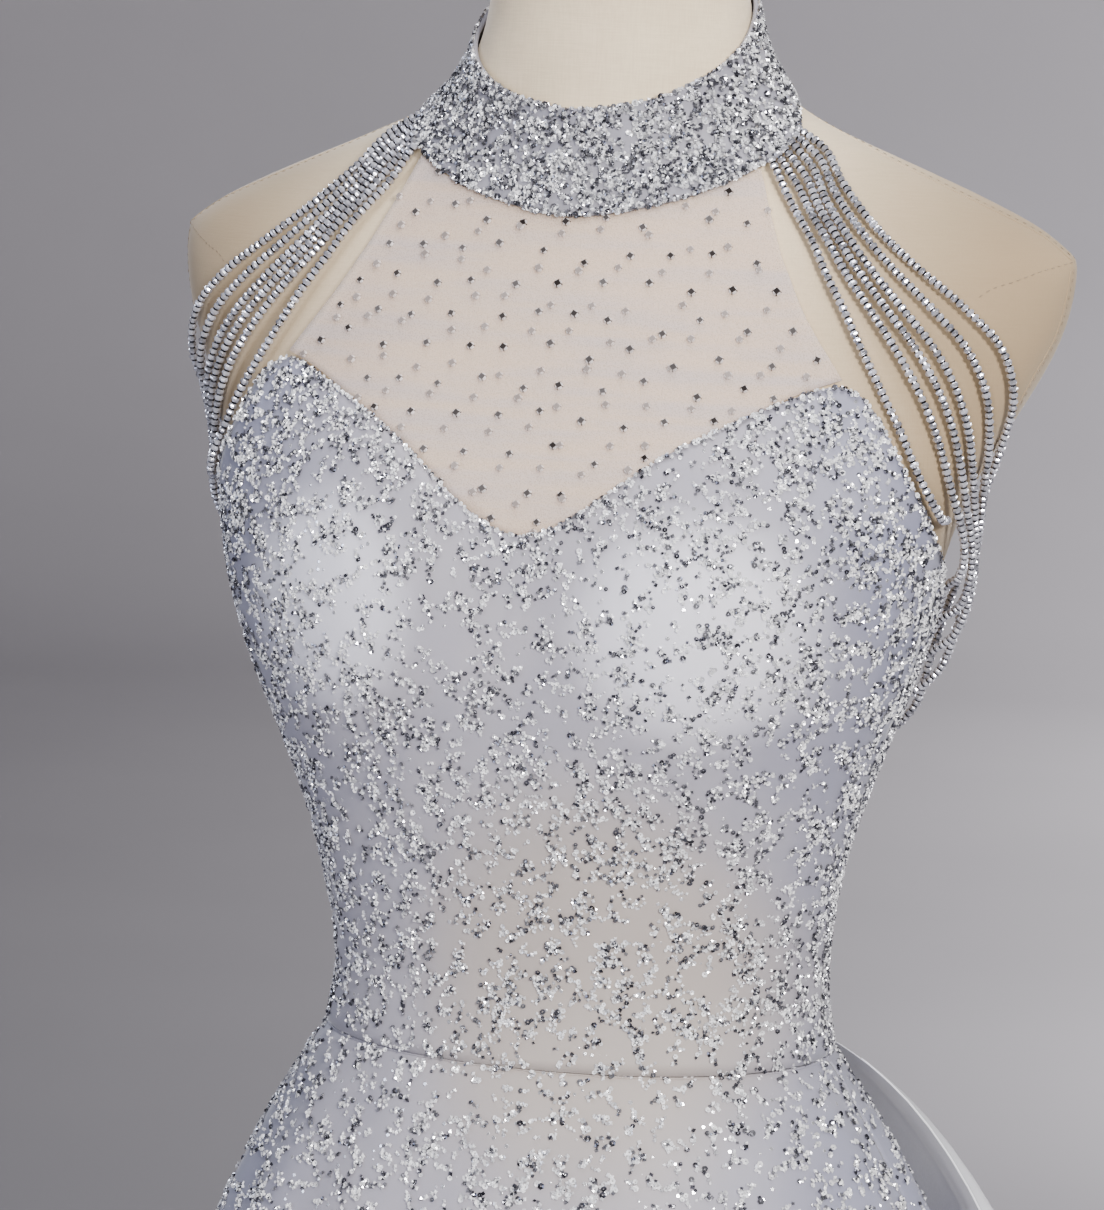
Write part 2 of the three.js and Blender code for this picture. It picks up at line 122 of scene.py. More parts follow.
class Shader:
    """The node tree of one material."""

    def __init__(self, name: str) -> None:
        """Starts an empty material.

        Args:
            name: the material's name.
        """
        self.material = bpy.data.materials.new(name)
        self.material.use_nodes = True
        self.tree = self.material.node_tree
        self.tree.nodes.clear()

    def node(self, kind: str, settings: dict | None = None, sockets: dict | None = None,
             output: int | str = 0) -> Value:
        """Adds any node, sets it and links it.

        Args:
            kind: the node's type.
            settings: its properties.
            sockets: values or links, by socket name or number.
            output: the output that is returned.

        Returns:
            The node's output as a Value.
        """
        made = self.tree.nodes.new(kind)
        for key, value in (settings or {}).items():
            setattr(made, key, value)
        for key, value in (sockets or {}).items():
            self._plug(made.inputs[key], value)
        return Value(self, made.outputs[output] if len(made.outputs) else None)

    def _plug(self, socket: bpy.types.NodeSocket, value: object) -> None:
        """Links a Value to a socket, or sets the socket to a constant.

        Args:
            socket: the input.
            value: a Value, a number or a colour.
        """
        if isinstance(value, Value):
            self.tree.links.new(value.socket, socket)
        elif isinstance(value, tuple) and len(value) == 3 and socket.type == "RGBA":
            socket.default_value = (*value, 1)
        else:
            socket.default_value = value

    def math(self, operation: str, *values: Value | float) -> Value:
        """Adds a Math node on the given values."""
        return self.node("ShaderNodeMath", {"operation": operation}, dict(enumerate(values)))

    def place(self) -> Value:
        """Object coordinates."""
        return self.node("ShaderNodeTexCoord", output="Object")

    def axes(self) -> tuple[Value, Value, Value]:
        """The three Object coordinates as numbers."""
        first = self.node("ShaderNodeSeparateXYZ", sockets={0: self.place()})
        outputs = first.socket.node.outputs
        return first, Value(self, outputs[1]), Value(self, outputs[2])

    def scaled_place(self, scale: Colour) -> Value:
        """Object coordinates, stretched along each axis."""
        return self.node("ShaderNodeMapping", sockets={"Vector": self.place(), "Scale": scale})

    def noise(self, scale: float, detail: float = 2.0, where: Value | None = None) -> Value:
        """Noise from 0 to 1.

        Args:
            scale: cells a metre.
            detail: octaves.
            where: the coordinates, or None for Object coordinates.

        Returns:
            The noise.
        """
        sockets = {"Vector": where or self.place(), "Scale": scale, "Detail": detail}
        return self.node("ShaderNodeTexNoise", sockets=sockets)

    def cells(self, scale: float, output: str = "Distance") -> Value:
        """Voronoi cells on Object coordinates: their distance or their random colour."""
        sockets = {"Vector": self.place(), "Scale": scale}
        return self.node("ShaderNodeTexVoronoi", sockets=sockets, output=output)

    def attribute(self, name: str) -> Value:
        """A mesh attribute as a number."""
        return self.node("ShaderNodeAttribute", {"attribute_name": name}, output="Fac")

    def blend(self, first: Value | Colour, second: Value | Colour, share: Value | float) -> Value:
        """A colour between two colours.

        Args:
            first: the colour at 0.
            second: the colour at 1.
            share: where between them.

        Returns:
            The mixed colour.
        """
        return self.node("ShaderNodeMix", {"data_type": "RGBA"}, {0: share, 6: first, 7: second}, output=2)

    def bump(self, height: Value, distance: float, strength: float = 1.0) -> Value:
        """A normal from a height from 0 to 1, whose full height is the distance."""
        sockets = {"Height": height, "Distance": distance, "Strength": strength}
        return self.node("ShaderNodeBump", sockets=sockets)

    def done(self, **sockets: object) -> bpy.types.Material:
        """Adds the surface shader with the given sockets.

        Args:
            sockets: values of the surface, with _ for each space in a socket's name.

        Returns:
            The finished material.
        """
        named = {key.replace("_", " "): value for key, value in sockets.items()}
        surface = self.node("ShaderNodeBsdfPrincipled", sockets=named)
        self.node("ShaderNodeOutputMaterial", sockets={"Surface": surface})
        return self.material


@dataclass(frozen=True)
class Linen:
    """Cream linen drawn over the form's padding."""

    pale: Colour = (0.84, 0.71, 0.53)
    deep: Colour = (0.70, 0.58, 0.42)
    side_shade: Colour = (0.34, 0.25, 0.155)
    thread: float = 1500.0

    def material(self, name: str) -> bpy.types.Material:
        """Plain weave with slubs and a faint mottle, and painted shade that darkens the sides below the neck.
        """
        s = Shader(name)
        along = s.noise(self.thread, 2.0, s.scaled_place((1, 1, 0.06)))
        across = s.noise(self.thread, 2.0, s.scaled_place((0.06, 0.06, 1)))
        weave = (along + across) * 0.5
        mottle = s.noise(14.0, 4.0)
        share = weave.smooth(0.35, 0.65) * 0.45 + mottle.smooth(0.3, 0.7) * 0.4
        across_x, _, height = s.axes()
        # Painted shade: the outer sides of the form darken below the neck, where the light falls off.
        outer = s.math("ABSOLUTE", across_x).smooth(0.05, 0.19) * height.smooth(1.50, 1.40)
        colour = s.blend(s.blend(self.pale, self.deep, share), self.side_shade, outer * 0.9)
        pull = s.noise(11.0, 3.0, s.scaled_place((1, 1, 2.4)))
        return s.done(Base_Color=colour, Roughness=0.88, Sheen_Weight=0.25, Sheen_Roughness=0.5,
                      Normal=s.bump(weave * 0.12 + pull, 2.2 * MM, 0.6))


@dataclass(frozen=True)
class BeadedCloth:
    """Pale lining under net, with small sequins scattered between the sewn clusters, a painted highlight on
    the cups and painted shade towards the sides.
    """

    silver: Colour = (0.43, 0.41, 0.45)
    cup_highlight: Colour = (0.74, 0.73, 0.80)
    warm: Colour = (0.48, 0.42, 0.37)
    lilac_mottle_and_shade: Colour = (0.25, 0.26, 0.36)
    speck: Colour = (0.95, 0.95, 0.98)
    speck_cells: float = 330.0
    low_specks: tuple[float, float] = (0.86, 0.78)

    @staticmethod
    def _spot(axes: tuple[Value, ...], middle: tuple[float, float], reach: tuple[float, float]) -> Value:
        """A soft oval patch on the front.

        Args:
            axes: the three coordinates.
            middle: x and z of its middle.
            reach: its half width and half height.

        Returns:
            1 inside, falling to 0 outside.
        """
        x, _, z = axes
        across = (x - middle[0]) / reach[0]
        along = (z - middle[1]) / reach[1]
        return 1 - (across * across + along * along).smooth(0.15, 1.25)

    def material(self, name: str) -> bpy.types.Material:
        """Lining colours by place, with a painted highlight on the cups and painted lilac shade towards the
        sides, net grain and small sequins.
        """
        s = Shader(name)
        axes = s.axes()
        # Painted highlight: the cups are lightened where the light from above falls on them.
        cups = self._spot(axes, (0.078, 1.222), (0.055, 0.052))
        cups = cups + self._spot(axes, (-0.088, 1.224), (0.045, 0.052))
        belly = self._spot(axes, (0.03, 1.06), (0.085, 0.10))
        # Painted shade: lilac darkens the cloth towards the sides, where it turns from the light; the cloud
        # adds a faint random mottle of the same colour.
        side = s.math("ABSOLUTE", axes[0]).smooth(0.06, 0.16)
        cloud = s.noise(26.0, 3.0).smooth(0.3, 0.7)
        colour = s.blend(self.silver, self.lilac_mottle_and_shade, side * 0.65 + cloud * 0.2)
        colour = s.blend(colour, self.warm, belly * 0.75)
        colour = s.blend(colour, self.cup_highlight, cups * 0.95)
        grain = s.noise(1900.0, 2.0)
        cell = s.cells(self.speck_cells)
        chance = s.node("ShaderNodeSeparateColor", sockets={0: s.cells(self.speck_cells, "Color")})
        low, high = self.low_specks
        lower = 1 - axes[2].smooth(high, low)
        near = chance.math("GREATER_THAN", 0.86 - lower * 0.30)
        speck = (1 - cell.smooth(0.26, 0.36)) * near
        colour = s.blend(colour, self.speck, speck * 0.8)
        height = grain * 0.12 + speck * (chance * 0.6 + 0.4)
        return s.done(Base_Color=colour, Roughness=0.62 - speck * 0.42, Metallic=speck * 0.7,
                      Sheen_Weight=0.3, Sheen_Roughness=0.4, Normal=s.bump(height, 0.5 * MM, 0.6))


@dataclass(frozen=True)
class Net:
    """Fine skin-toned net over the linen."""

    warm: Colour = (0.86, 0.71, 0.61)
    grey: Colour = (0.74, 0.65, 0.63)
    cover: float = 0.28
    mesh: float = 1250.0

    def material(self, name: str) -> bpy.types.Material:
        """Holes of the net as alpha, with faint level streaks."""
        s = Shader(name)
        streak = s.noise(22.0, 3.0, s.scaled_place((0.5, 0.5, 7)))
        holes = s.cells(self.mesh).smooth(0.15, 0.6)
        share = streak.smooth(0.35, 0.7)
        alpha = self.cover + holes * 0.18 + share * 0.08
        return s.done(Base_Color=s.blend(self.warm, self.grey, share), Roughness=0.7, Alpha=alpha,
                      Sheen_Weight=0.35, Normal=s.bump(holes, 0.15 * MM, 0.4))


@dataclass(frozen=True)
class Organza:
    """Crisp sheer cloth with a cool sheen."""

    pale: Colour = (0.97, 0.97, 1.0)
    deep: Colour = (0.84, 0.84, 0.92)
    cover: float = 0.52
    thread: float = 1700.0

    def material(self, name: str) -> bpy.types.Material:
        """Sheer weave with soft upright shading."""
        s = Shader(name)
        fold = s.noise(15.0, 3.0, s.scaled_place((1, 1, 0.12))).smooth(0.3, 0.7)
        thread = s.noise(self.thread, 1.0, s.scaled_place((1, 1, 0.08)))
        return s.done(Base_Color=s.blend(self.pale, self.deep, fold), Roughness=0.38,
                      Alpha=self.cover + fold * 0.16 + thread * 0.08, Sheen_Weight=0.6, Sheen_Roughness=0.3,
                      Normal=s.bump(thread, 0.1 * MM, 0.3))


@dataclass(frozen=True)
class SilverBead:
    """Silver-lined bead glass, each bead painted lighter or darker by its tone: in the beadwork and stones
    high tones are painted glints and low tones painted shade.
    """

    dark: Colour = (0.13, 0.13, 0.16)
    bright: Colour = (0.98, 0.98, 1.0)
    roughness: float = 0.16
    metallic: float = 0.9

    def material(self, name: str) -> bpy.types.Material:
        """Mirror-like facets between dark and bright silver, painted glints and painted shade by tone."""
        s = Shader(name)
        tone = s.attribute("tone")
        # Painted glints and shade: bright tones are diffuse white, dark tones dark metal.
        metal = ((1 - tone) * self.metallic).math("MINIMUM", 1.0)
        return s.done(Base_Color=s.blend(self.dark, self.bright, tone), Roughness=self.roughness,
                      Metallic=metal, Coat_Weight=0.8, Coat_Roughness=0.04,
                      Normal=s.bump(s.noise(900.0, 1.0), 0.05 * MM, 0.3))


@dataclass(frozen=True)
class Thread:
    """Sewing thread."""

    colour: Colour = (0.6, 0.58, 0.6)
    dark: Colour = (0.35, 0.33, 0.35)

    def material(self, name: str) -> bpy.types.Material:
        """Twisted thread with fine lighter and darker turns."""
        s = Shader(name)
        turns = s.noise(2600.0, 2.0)
        return s.done(Base_Color=s.blend(self.dark, self.colour, turns.smooth(0.3, 0.7)), Roughness=0.8,
                      Normal=s.bump(turns, 0.1 * MM, 0.4))


@dataclass(frozen=True)
class StandMetal:
    """Grey enamel over steel, a little rubbed on top."""

    colour: Colour = (0.20, 0.20, 0.21)
    rubbed: Colour = (0.42, 0.42, 0.43)
    metallic: float = 0.8

    def material(self, name: str) -> bpy.types.Material:
        """Fine orange-peel with rubbed patches."""
        s = Shader(name)
        wear = s.noise(38.0, 6.0).smooth(0.52, 0.74)
        peel = s.noise(700.0, 2.0)
        return s.done(Base_Color=s.blend(self.colour, self.rubbed, wear * 0.6), Metallic=self.metallic,
                      Roughness=0.34 + wear * 0.16, Normal=s.bump(peel, 0.08 * MM, 0.3))


@dataclass(frozen=True)
class TurnedWood:
    """Dark stained wood of the neck cap."""

    pale: Colour = (0.30, 0.19, 0.11)
    deep: Colour = (0.12, 0.07, 0.04)

    def material(self, name: str) -> bpy.types.Material:
        """Straight grain under satin varnish."""
        s = Shader(name)
        grain = s.noise(55.0, 5.0, s.scaled_place((0.12, 2.2, 1))).smooth(0.3, 0.7)
        return s.done(Base_Color=s.blend(self.pale, self.deep, grain), Roughness=0.32 + grain * 0.12,
                      Coat_Weight=0.3, Normal=s.bump(grain, 0.15 * MM, 0.4))


@dataclass(frozen=True)
class StudioFloor:
    """Plain pale studio paper."""

    colour: Colour = (0.44, 0.43, 0.455)
    shade: Colour = (0.41, 0.40, 0.425)

    def material(self, name: str) -> bpy.types.Material:
        """Even matt paper."""
        s = Shader(name)
        return s.done(Base_Color=s.blend(self.colour, self.shade, s.noise(1.5, 2.0)), Roughness=0.9)


def add_piece(name: str, mesh: bpy.types.Mesh, material: bpy.types.Material,
              smooth: bool = True) -> bpy.types.Object:
    """Puts a mesh into the scene as a piece of the object.

    Args:
        name: the piece's name.
        mesh: its mesh, in place.
        material: its material.
        smooth: whether its faces are shaded smooth.

    Returns:
        The new object.
    """
    mesh.name = name
    mesh.materials.clear()
    mesh.materials.append(material)
    mesh.polygons.foreach_set("use_smooth", [smooth] * len(mesh.polygons))
    piece = bpy.data.objects.new(name, mesh)
    bpy.context.scene.collection.objects.link(piece)
    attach(piece, "root")
    log.info("%s: %d faces", name, len(mesh.polygons))
    return piece


def mesh_from(shape: bmesh.types.BMesh) -> bpy.types.Mesh:
    """Turns a bmesh into a mesh and frees it."""
    mesh = bpy.data.meshes.new("shape")
    shape.to_mesh(mesh)
    shape.free()
    return mesh


class Skin:
    """The outer face of one of the model's solids, refined to a smooth mesh that can be searched."""

    def __init__(self, node: str, levels: int = 2, sharp: float = 60.0, crease: float = 0.0) -> None:
        """Takes the outer face and refines it.

        Args:
            node: the solid's name.
            levels: how many times it is refined.
            sharp: degrees between faces at which the outer face ends.
            crease: degrees from which an edge stays crisp, or 0 for none.
        """
        shape = self._outer_face(node, math.radians(sharp))
        if crease:
            self._crease(shape, math.radians(crease))
        self.mesh = self._refined(mesh_from(shape), levels)
        self._index()

    def _outer_face(self, node: str, sharp: float) -> bmesh.types.BMesh:
        """The patch of the solid that faces away from the body's axis.

        Args:
            node: the solid's name.
            sharp: angle that bounds a patch.

        Returns:
            The patch, in quads.
        """
        shape = bmesh.new()
        shape.from_mesh(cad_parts[node].data)
        bmesh.ops.remove_doubles(shape, verts=shape.verts, dist=0.02 * MM)
        patches = self._patches(shape, sharp)
        keep = max(patches, key=self._outwards)
        drop = [face for face in shape.faces if face not in keep]
        bmesh.ops.delete(shape, geom=drop, context="FACES")
        bmesh.ops.join_triangles(shape, faces=shape.faces, angle_face_threshold=math.radians(50),
                                 angle_shape_threshold=math.radians(70))
        return shape

    def _patches(self, shape: bmesh.types.BMesh, sharp: float) -> list[set]:
        """Splits a solid into patches at its sharp edges.

        Args:
            shape: the solid.
            sharp: angle between two patches.

        Returns:
            The faces of each patch.
        """
        patches: list[set] = []
        left = set(shape.faces)
        while left:
            front = [left.pop()]
            patch = set(front)
            while front:
                face = front.pop()
                near = [other for edge in face.edges if edge.calc_face_angle(math.pi) < sharp
                        for other in edge.link_faces if other in left]
                left.difference_update(near)
                patch.update(near)
                front.extend(near)
            patches.append(patch)
        return patches

    @staticmethod
    def _outwards(patch: set) -> float:
        """How much area of a patch faces away from the body's axis."""
        total = 0.0
        for face in patch:
            middle = face.calc_center_median()
            away = Vector((middle.x, middle.y, 0)).normalized()
            total += face.calc_area() * face.normal.dot(away)
        return total

    @staticmethod
    def _crease(shape: bmesh.types.BMesh, start: float) -> None:
        """Keeps the crisp edges of a patch crisp.

        Args:
            shape: the patch.
            start: angle from which an edge is creased.
        """
        layer = shape.edges.layers.float.new("crease_edge")
        for edge in shape.edges:
            angle = edge.calc_face_angle(0.0)
            edge[layer] = min(0.9, max(0.0, (angle - start) / math.radians(25)))

    @staticmethod
    def _refined(mesh: bpy.types.Mesh, levels: int) -> bpy.types.Mesh:
        """The mesh after subdivision.

        Args:
            mesh: the coarse mesh.
            levels: subdivision levels.

        Returns:
            The fine mesh.
        """
        holder = bpy.data.objects.new("holder", mesh)
        bpy.context.scene.collection.objects.link(holder)
        finer = holder.modifiers.new("finer", "SUBSURF")
        finer.levels = finer.render_levels = levels
        finer.boundary_smooth = "PRESERVE_CORNERS"
        graph = bpy.context.evaluated_depsgraph_get()
        fine = bpy.data.meshes.new_from_object(holder.evaluated_get(graph))
        bpy.data.objects.remove(holder)
        return fine

    def _index(self) -> None:
        """Builds the search tree of the skin."""
        shape = bmesh.new()
        shape.from_mesh(self.mesh)
        self.tree = BVHTree.FromBMesh(shape)
        shape.free()

    def points(self) -> np.ndarray:
        """The skin's points."""
        flat = np.empty(len(self.mesh.vertices) * 3)
        self.mesh.vertices.foreach_get("co", flat)
        return flat.reshape(-1, 3)

    def normals(self) -> np.ndarray:
        """The normals at the skin's points."""
        flat = np.empty(len(self.mesh.vertices) * 3)
        self.mesh.vertex_normals.foreach_get("vector", flat)
        return flat.reshape(-1, 3)

    def raise_by(self, height: Callable[[np.ndarray], np.ndarray]) -> None:
        """Moves each point out along its normal.

        Args:
            height: gives the height of each of the points it is handed.
        """
        points = self.points()
        moved = points + self.normals() * height(points)[:, None]
        self.mesh.vertices.foreach_set("co", moved.ravel())
        self.mesh.update()
        self._index()

    def rim(self, low: float, high: float) -> list[Vector]:
        """The skin's open edge between two heights, in order.

        Args:
            low: the lowest height that is kept.
            high: the highest.

        Returns:
            The points of the longest unbroken run of the edge.
        """
        shape = bmesh.new()
        shape.from_mesh(self.mesh)
        kept = {v for v in shape.verts if v.is_boundary and low <= v.co.z <= high}
        runs = []
        while kept:
            ends = [v for v in kept if sum(o in kept for o in self._beside(v)) < 2] or list(kept)
            here = min(ends, key=lambda v: v.index)
            run = [here]
            kept.discard(here)
            while following := [o for o in self._beside(run[-1]) if o in kept]:
                run.append(following[0])
                kept.discard(following[0])
            runs.append([v.co.copy() for v in run])
        shape.free()
        return max(runs, key=len)

    @staticmethod
    def _beside(vert: bmesh.types.BMVert) -> list[bmesh.types.BMVert]:
        """The neighbours of a point along the open edge."""
        return [edge.other_vert(vert) for edge in vert.link_edges if edge.is_boundary]

    def draw_in(self, depth: float) -> None:
        """Hollows both side edges, deepest half way up, along the same surface.

        Args:
            depth: how far the middle of an edge moves.
        """
        points = self.points()
        low, high = points[:, 2].min(), points[:, 2].max()
        bands = np.linspace(low, high, 25)
        wide = [np.abs(points[np.abs(points[:, 2] - z) < 6 * MM, 0]).max() for z in bands]
        edge = np.interp(points[:, 2], bands, wide)
        t = (points[:, 2] - low) / (high - low)
        hollow = np.interp(t, [0.3, 0.45, 0.6, 0.75, 0.9, 1.0], [0, 0.55, 1.0, 0.9, 0.45, 0])
        points[:, 0] *= 1 - depth / edge * hollow * (np.abs(points[:, 0]) / edge) ** 3
        laid = [self.nearest(Vector(p))[0][:] for p in points]
        self.mesh.vertices.foreach_set("co", np.array(laid).ravel())
        self.mesh.update()
        self._index()

    def nearest(self, point: Vector) -> tuple[Vector, Vector]:
        """The skin's nearest point and its normal there."""
        found, normal, _, _ = self.tree.find_nearest(point)
        return found, normal

    def piece(self, name: str, material: bpy.types.Material, slot: Slot, thick: float,
              *replaced: str) -> bpy.types.Object:
        """The skin as a wall of cloth that replaces its solid.

        Args:
            name: the piece's name.
            material: its material.
            slot: not used.
            thick: its thickness.
            replaced: the solids that it stands for.

        Returns:
            The piece.
        """
        made = add_piece(name, self.mesh.copy(), material)
        wall = made.modifiers.new("wall", "SOLIDIFY")
        wall.thickness = thick
        wall.offset = -1
        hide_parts(*replaced)
        return made


def turned_frames(normals: np.ndarray, along: np.ndarray) -> np.ndarray:
    """Frames whose third axis is the normal and whose first lies near a direction.

    Args:
        normals: unit normals.
        along: directions, one for each normal.

    Returns:
        One 3 by 3 matrix for each normal, with the axes as columns.
    """
    first = along - normals * np.sum(along * normals, axis=1)[:, None]
    first /= np.linalg.norm(first, axis=1)[:, None] + 1e-9
    second = np.cross(normals, first)
    return np.stack([first, second, normals], axis=2)


class Repeats:
    """Copies of small shapes, joined into one mesh."""

    def __init__(self) -> None:
        """Starts with no copies."""
        self.points: list[np.ndarray] = []
        self.faces: list[np.ndarray] = []
        self.tones: list[np.ndarray] = []
        self.count = 0

    def add(self, shape: bmesh.types.BMesh, places: np.ndarray, frames: np.ndarray,
            tones: np.ndarray) -> None:
        """Adds one copy of a shape at each place.

        Args:
            shape: the shape, with triangular faces; it is freed.
            places: where the copies go.
            frames: a 3 by 3 matrix for each copy.
            tones: how light each copy is, from 0 to 1.
        """
        bmesh.ops.triangulate(shape, faces=shape.faces)
        shape.verts.ensure_lookup_table()
        corners = np.array([v.co[:] for v in shape.verts])
        faces = np.array([[v.index for v in face.verts] for face in shape.faces])
        shape.free()
        placed = np.einsum("nij,kj->nki", frames, corners) + places[:, None, :]
        starts = self.count + np.arange(len(places)) * len(corners)
        self.points.append(placed.reshape(-1, 3))
        self.faces.append((faces[None] + starts[:, None, None]).reshape(-1, 3))
        self.tones.append(np.repeat(tones, len(corners)))
        self.count += len(places) * len(corners)

    def mesh(self) -> bpy.types.Mesh:
        """The joined mesh, with its tones as an attribute."""
        points = np.concatenate(self.points)
        faces = np.concatenate(self.faces)
        mesh = bpy.data.meshes.new("repeats")
        mesh.vertices.add(len(points))
        mesh.vertices.foreach_set("co", points.ravel())
        mesh.loops.add(faces.size)
        mesh.loops.foreach_set("vertex_index", faces.ravel())
        mesh.polygons.add(len(faces))
        mesh.polygons.foreach_set("loop_start", np.arange(0, faces.size, 3))
        mesh.update(calc_edges=True)
        tone = mesh.attributes.new("tone", "FLOAT", "POINT")
        tone.data.foreach_set("value", np.concatenate(self.tones))
        return mesh


def bead_shape(radius: float, flat: float) -> bmesh.types.BMesh:
    """A small faceted bead.

    Args:
        radius: its half width.
        flat: its height over its width.

    Returns:
        The bead, standing on its middle.
    """
    shape = bmesh.new()
    bmesh.ops.create_uvsphere(shape, u_segments=4, v_segments=2, radius=radius)
    bmesh.ops.scale(shape, vec=(1, 1, flat), verts=shape.verts)
    return shape


def sequin_shape(radius: float, dish: float) -> bmesh.types.BMesh:
    """A cupped six-sided sequin.

    Args:
        radius: its half width.
        dish: how far its rim stands above its middle.

    Returns:
        The sequin.
    """
    shape = bmesh.new()
    bmesh.ops.create_cone(shape, cap_ends=False, segments=6, radius1=radius * 0.25, radius2=radius,
                          depth=dish)
    return shape


def cut_stone(sides: int, radius: float, table: float, height: float) -> bmesh.types.BMesh:
    """One tier of a flat-backed cut stone.

    Args:
        sides: its facets.
        radius: its half width at the back.
        table: the half width of its flat top, as a share of the back's.
        height: its height.

    Returns:
        The tier, with its back at zero.
    """
    shape = bmesh.new()
    bmesh.ops.create_cone(shape, cap_ends=True, segments=sides, radius1=radius, radius2=radius * table,
                          depth=height)
    bmesh.ops.translate(shape, vec=(0, 0, height / 2), verts=shape.verts)
    return shape


def turned_shape(profile: Sequence[tuple[float, float]], steps: int, weld: float) -> bmesh.types.BMesh:
    """A round shape, turned from a profile.

    Args:
        profile: radius and height of each point, from one end to the other.
        steps: steps of the turn.
        weld: distance under which points become one.

    Returns:
        The shape, with its normals out.
    """
    shape = bmesh.new()
    verts = [shape.verts.new((radius, 0, height)) for radius, height in profile]
    edges = [shape.edges.new(pair) for pair in zip(verts, verts[1:])]
    bmesh.ops.spin(shape, geom=verts + edges, cent=(0, 0, 0), axis=(0, 0, 1), angle=2 * math.pi,
                   steps=steps, use_merge=True)
    bmesh.ops.remove_doubles(shape, verts=shape.verts, dist=weld)
    bmesh.ops.recalc_face_normals(shape, faces=shape.faces)
    return shape


def evenly_along(points: list[Colour] | list[Vector], step: float) -> np.ndarray:
    """Points laid at even distances along a line.

    Args:
        points: the line's own points.
        step: distance between the laid points.

    Returns:
        The laid points.
    """
    rough = np.array([p[:] for p in points], dtype=float)
    run = np.concatenate([[0], np.cumsum(np.linalg.norm(np.diff(rough, axis=0), axis=1))])
    at = np.arange(0, run[-1], step)
    return np.stack([np.interp(at, run, rough[:, k]) for k in range(3)], axis=1)


@dataclass
class BeadWork:
    """Clusters of beads and sequins sewn along short wandering lines on a skin."""

    seed: int
    bead: float = 0.95 * MM
    sequin: float = 1.1 * MM
    step: float = 1.75 * MM
    shortest: int = 2
    longest: int = 9
    spread: float = 1.5
    # dark is the share of beads painted as shade between beads; light and shadow are the tones of the painted
    # glints and the painted shade.
    dark: float = 0.4
    light: tuple[float, float] = (0.64, 1.0)
    shadow: tuple[float, float] = (0, 0.3)
    lean: float = 0.28
    sizes: tuple[float, float] = (0.8, 1.2)
    crowding: float = 0.75

    def _starts(self, skin: Skin, per_cm2: Density, rng: np.random.Generator) -> np.ndarray:
        """Where the clusters start.

        Args:
            skin: the cloth.
            per_cm2: clusters for each square centimetre, by place.
            rng: the source of chance.

        Returns:
            The starting points.
        """
        mesh = skin.mesh
        mesh.calc_loop_triangles()
        corners = np.array([t.vertices[:] for t in mesh.loop_triangles])
        points = skin.points()[corners]
        sides = np.cross(points[:, 1] - points[:, 0], points[:, 2] - points[:, 0])
        wanted = np.linalg.norm(sides, axis=1) / 2 * 1e4 * per_cm2(points.mean(axis=1))
        total = int(wanted.sum())
        chosen = rng.choice(len(corners), total, p=wanted / wanted.sum())
        mix = rng.random((total, 2))
        over = mix.sum(axis=1) > 1
        mix[over] = 1 - mix[over]
        corner = points[chosen]
        first = corner[:, 0] * (1 - mix.sum(axis=1))[:, None]
        return first + corner[:, 1] * mix[:, :1] + corner[:, 2] * mix[:, 1:]

    def _walk(self, skin: Skin, start: Vector, rng: np.random.Generator) -> list[tuple[Vector, Vector]]:
        """One cluster: a wandering line of beads on the skin.

        Args:
            skin: the cloth.
            start: where it starts.
            rng: the source of chance.

        Returns:
            The place and normal of each bead.
        """
        place, normal = skin.nearest(start)
        heading = rng.random() * 2 * math.pi
        line = [(place, normal)]
        for _ in range(int(rng.integers(self.shortest, self.longest + 1)) - 1):
            heading += rng.normal(0, self.spread)
            side = normal.orthogonal().normalized()
            way = Matrix.Rotation(heading, 3, normal) @ side
            wanted = place + way * self.step * rng.uniform(0.85, 1.15)
            found, turned = skin.nearest(wanted)
            if (found - wanted).length > self.step * 0.3:
                break
            place, normal = found, turned
            line.append((place, normal))
        return line

    def _edge(self, skin: Skin, edge: list[Vector], rng: np.random.Generator) -> list[tuple[Vector, Vector]]:
        """Beads crowded along an edge of the skin.

        Args:
            skin: the cloth.
            edge: points along its edge.
            rng: the source of chance.

        Returns:
            The place and normal of each bead.
        """
        guide = evenly_along(edge, self.step * self.crowding)
        guide += rng.normal(0, self.bead * 0.8, guide.shape)
        return [skin.nearest(Vector(p)) for p in guide]

    def mesh(self, skin: Skin, per_cm2: Density, sequins: float = 0.35,
             edge: list[Vector] | None = None) -> bpy.types.Mesh:
        """Beads and sequins on a skin.

        Args:
            skin: the cloth.
            per_cm2: clusters for each square centimetre, by place.
            sequins: the share of sequins.
            edge: points along an edge that is closely beaded.

        Returns:
            The joined mesh.
        """
        rng = np.random.default_rng(self.seed)
        sewn = []
        for start in self._starts(skin, per_cm2, rng):
            sewn.extend(self._walk(skin, Vector(start), rng))
        if edge:
            sewn.extend(self._edge(skin, edge, rng))
        places = np.array([place[:] for place, _ in sewn])
        normals = np.array([normal[:] for _, normal in sewn])
        tilt = normals + rng.normal(0, self.lean, normals.shape)
        tilt /= np.linalg.norm(tilt, axis=1)[:, None]
        frames = turned_frames(tilt, rng.normal(size=normals.shape))
        count = len(places)
        size = rng.uniform(*self.sizes, count)
        frames = frames * size[:, None, None]
        # Painted light: a share of the beads is painted dark as shade between them, the rest painted bright
        # as glints.
        tones = np.where(rng.random(count) < self.dark, rng.uniform(*self.shadow, count),
                         rng.uniform(*self.light, count))
        flat = rng.random(count) < sequins
        work = Repeats()
        lift = normals * (self.bead * 0.55 * size)[:, None]
        work.add(bead_shape(self.bead, 0.8), (places + lift)[~flat], frames[~flat], tones[~flat])
        raised = places + normals * self.bead * 0.6
        work.add(sequin_shape(self.sequin, self.sequin * 0.35), raised[flat], frames[flat], tones[flat])
        return work.mesh()


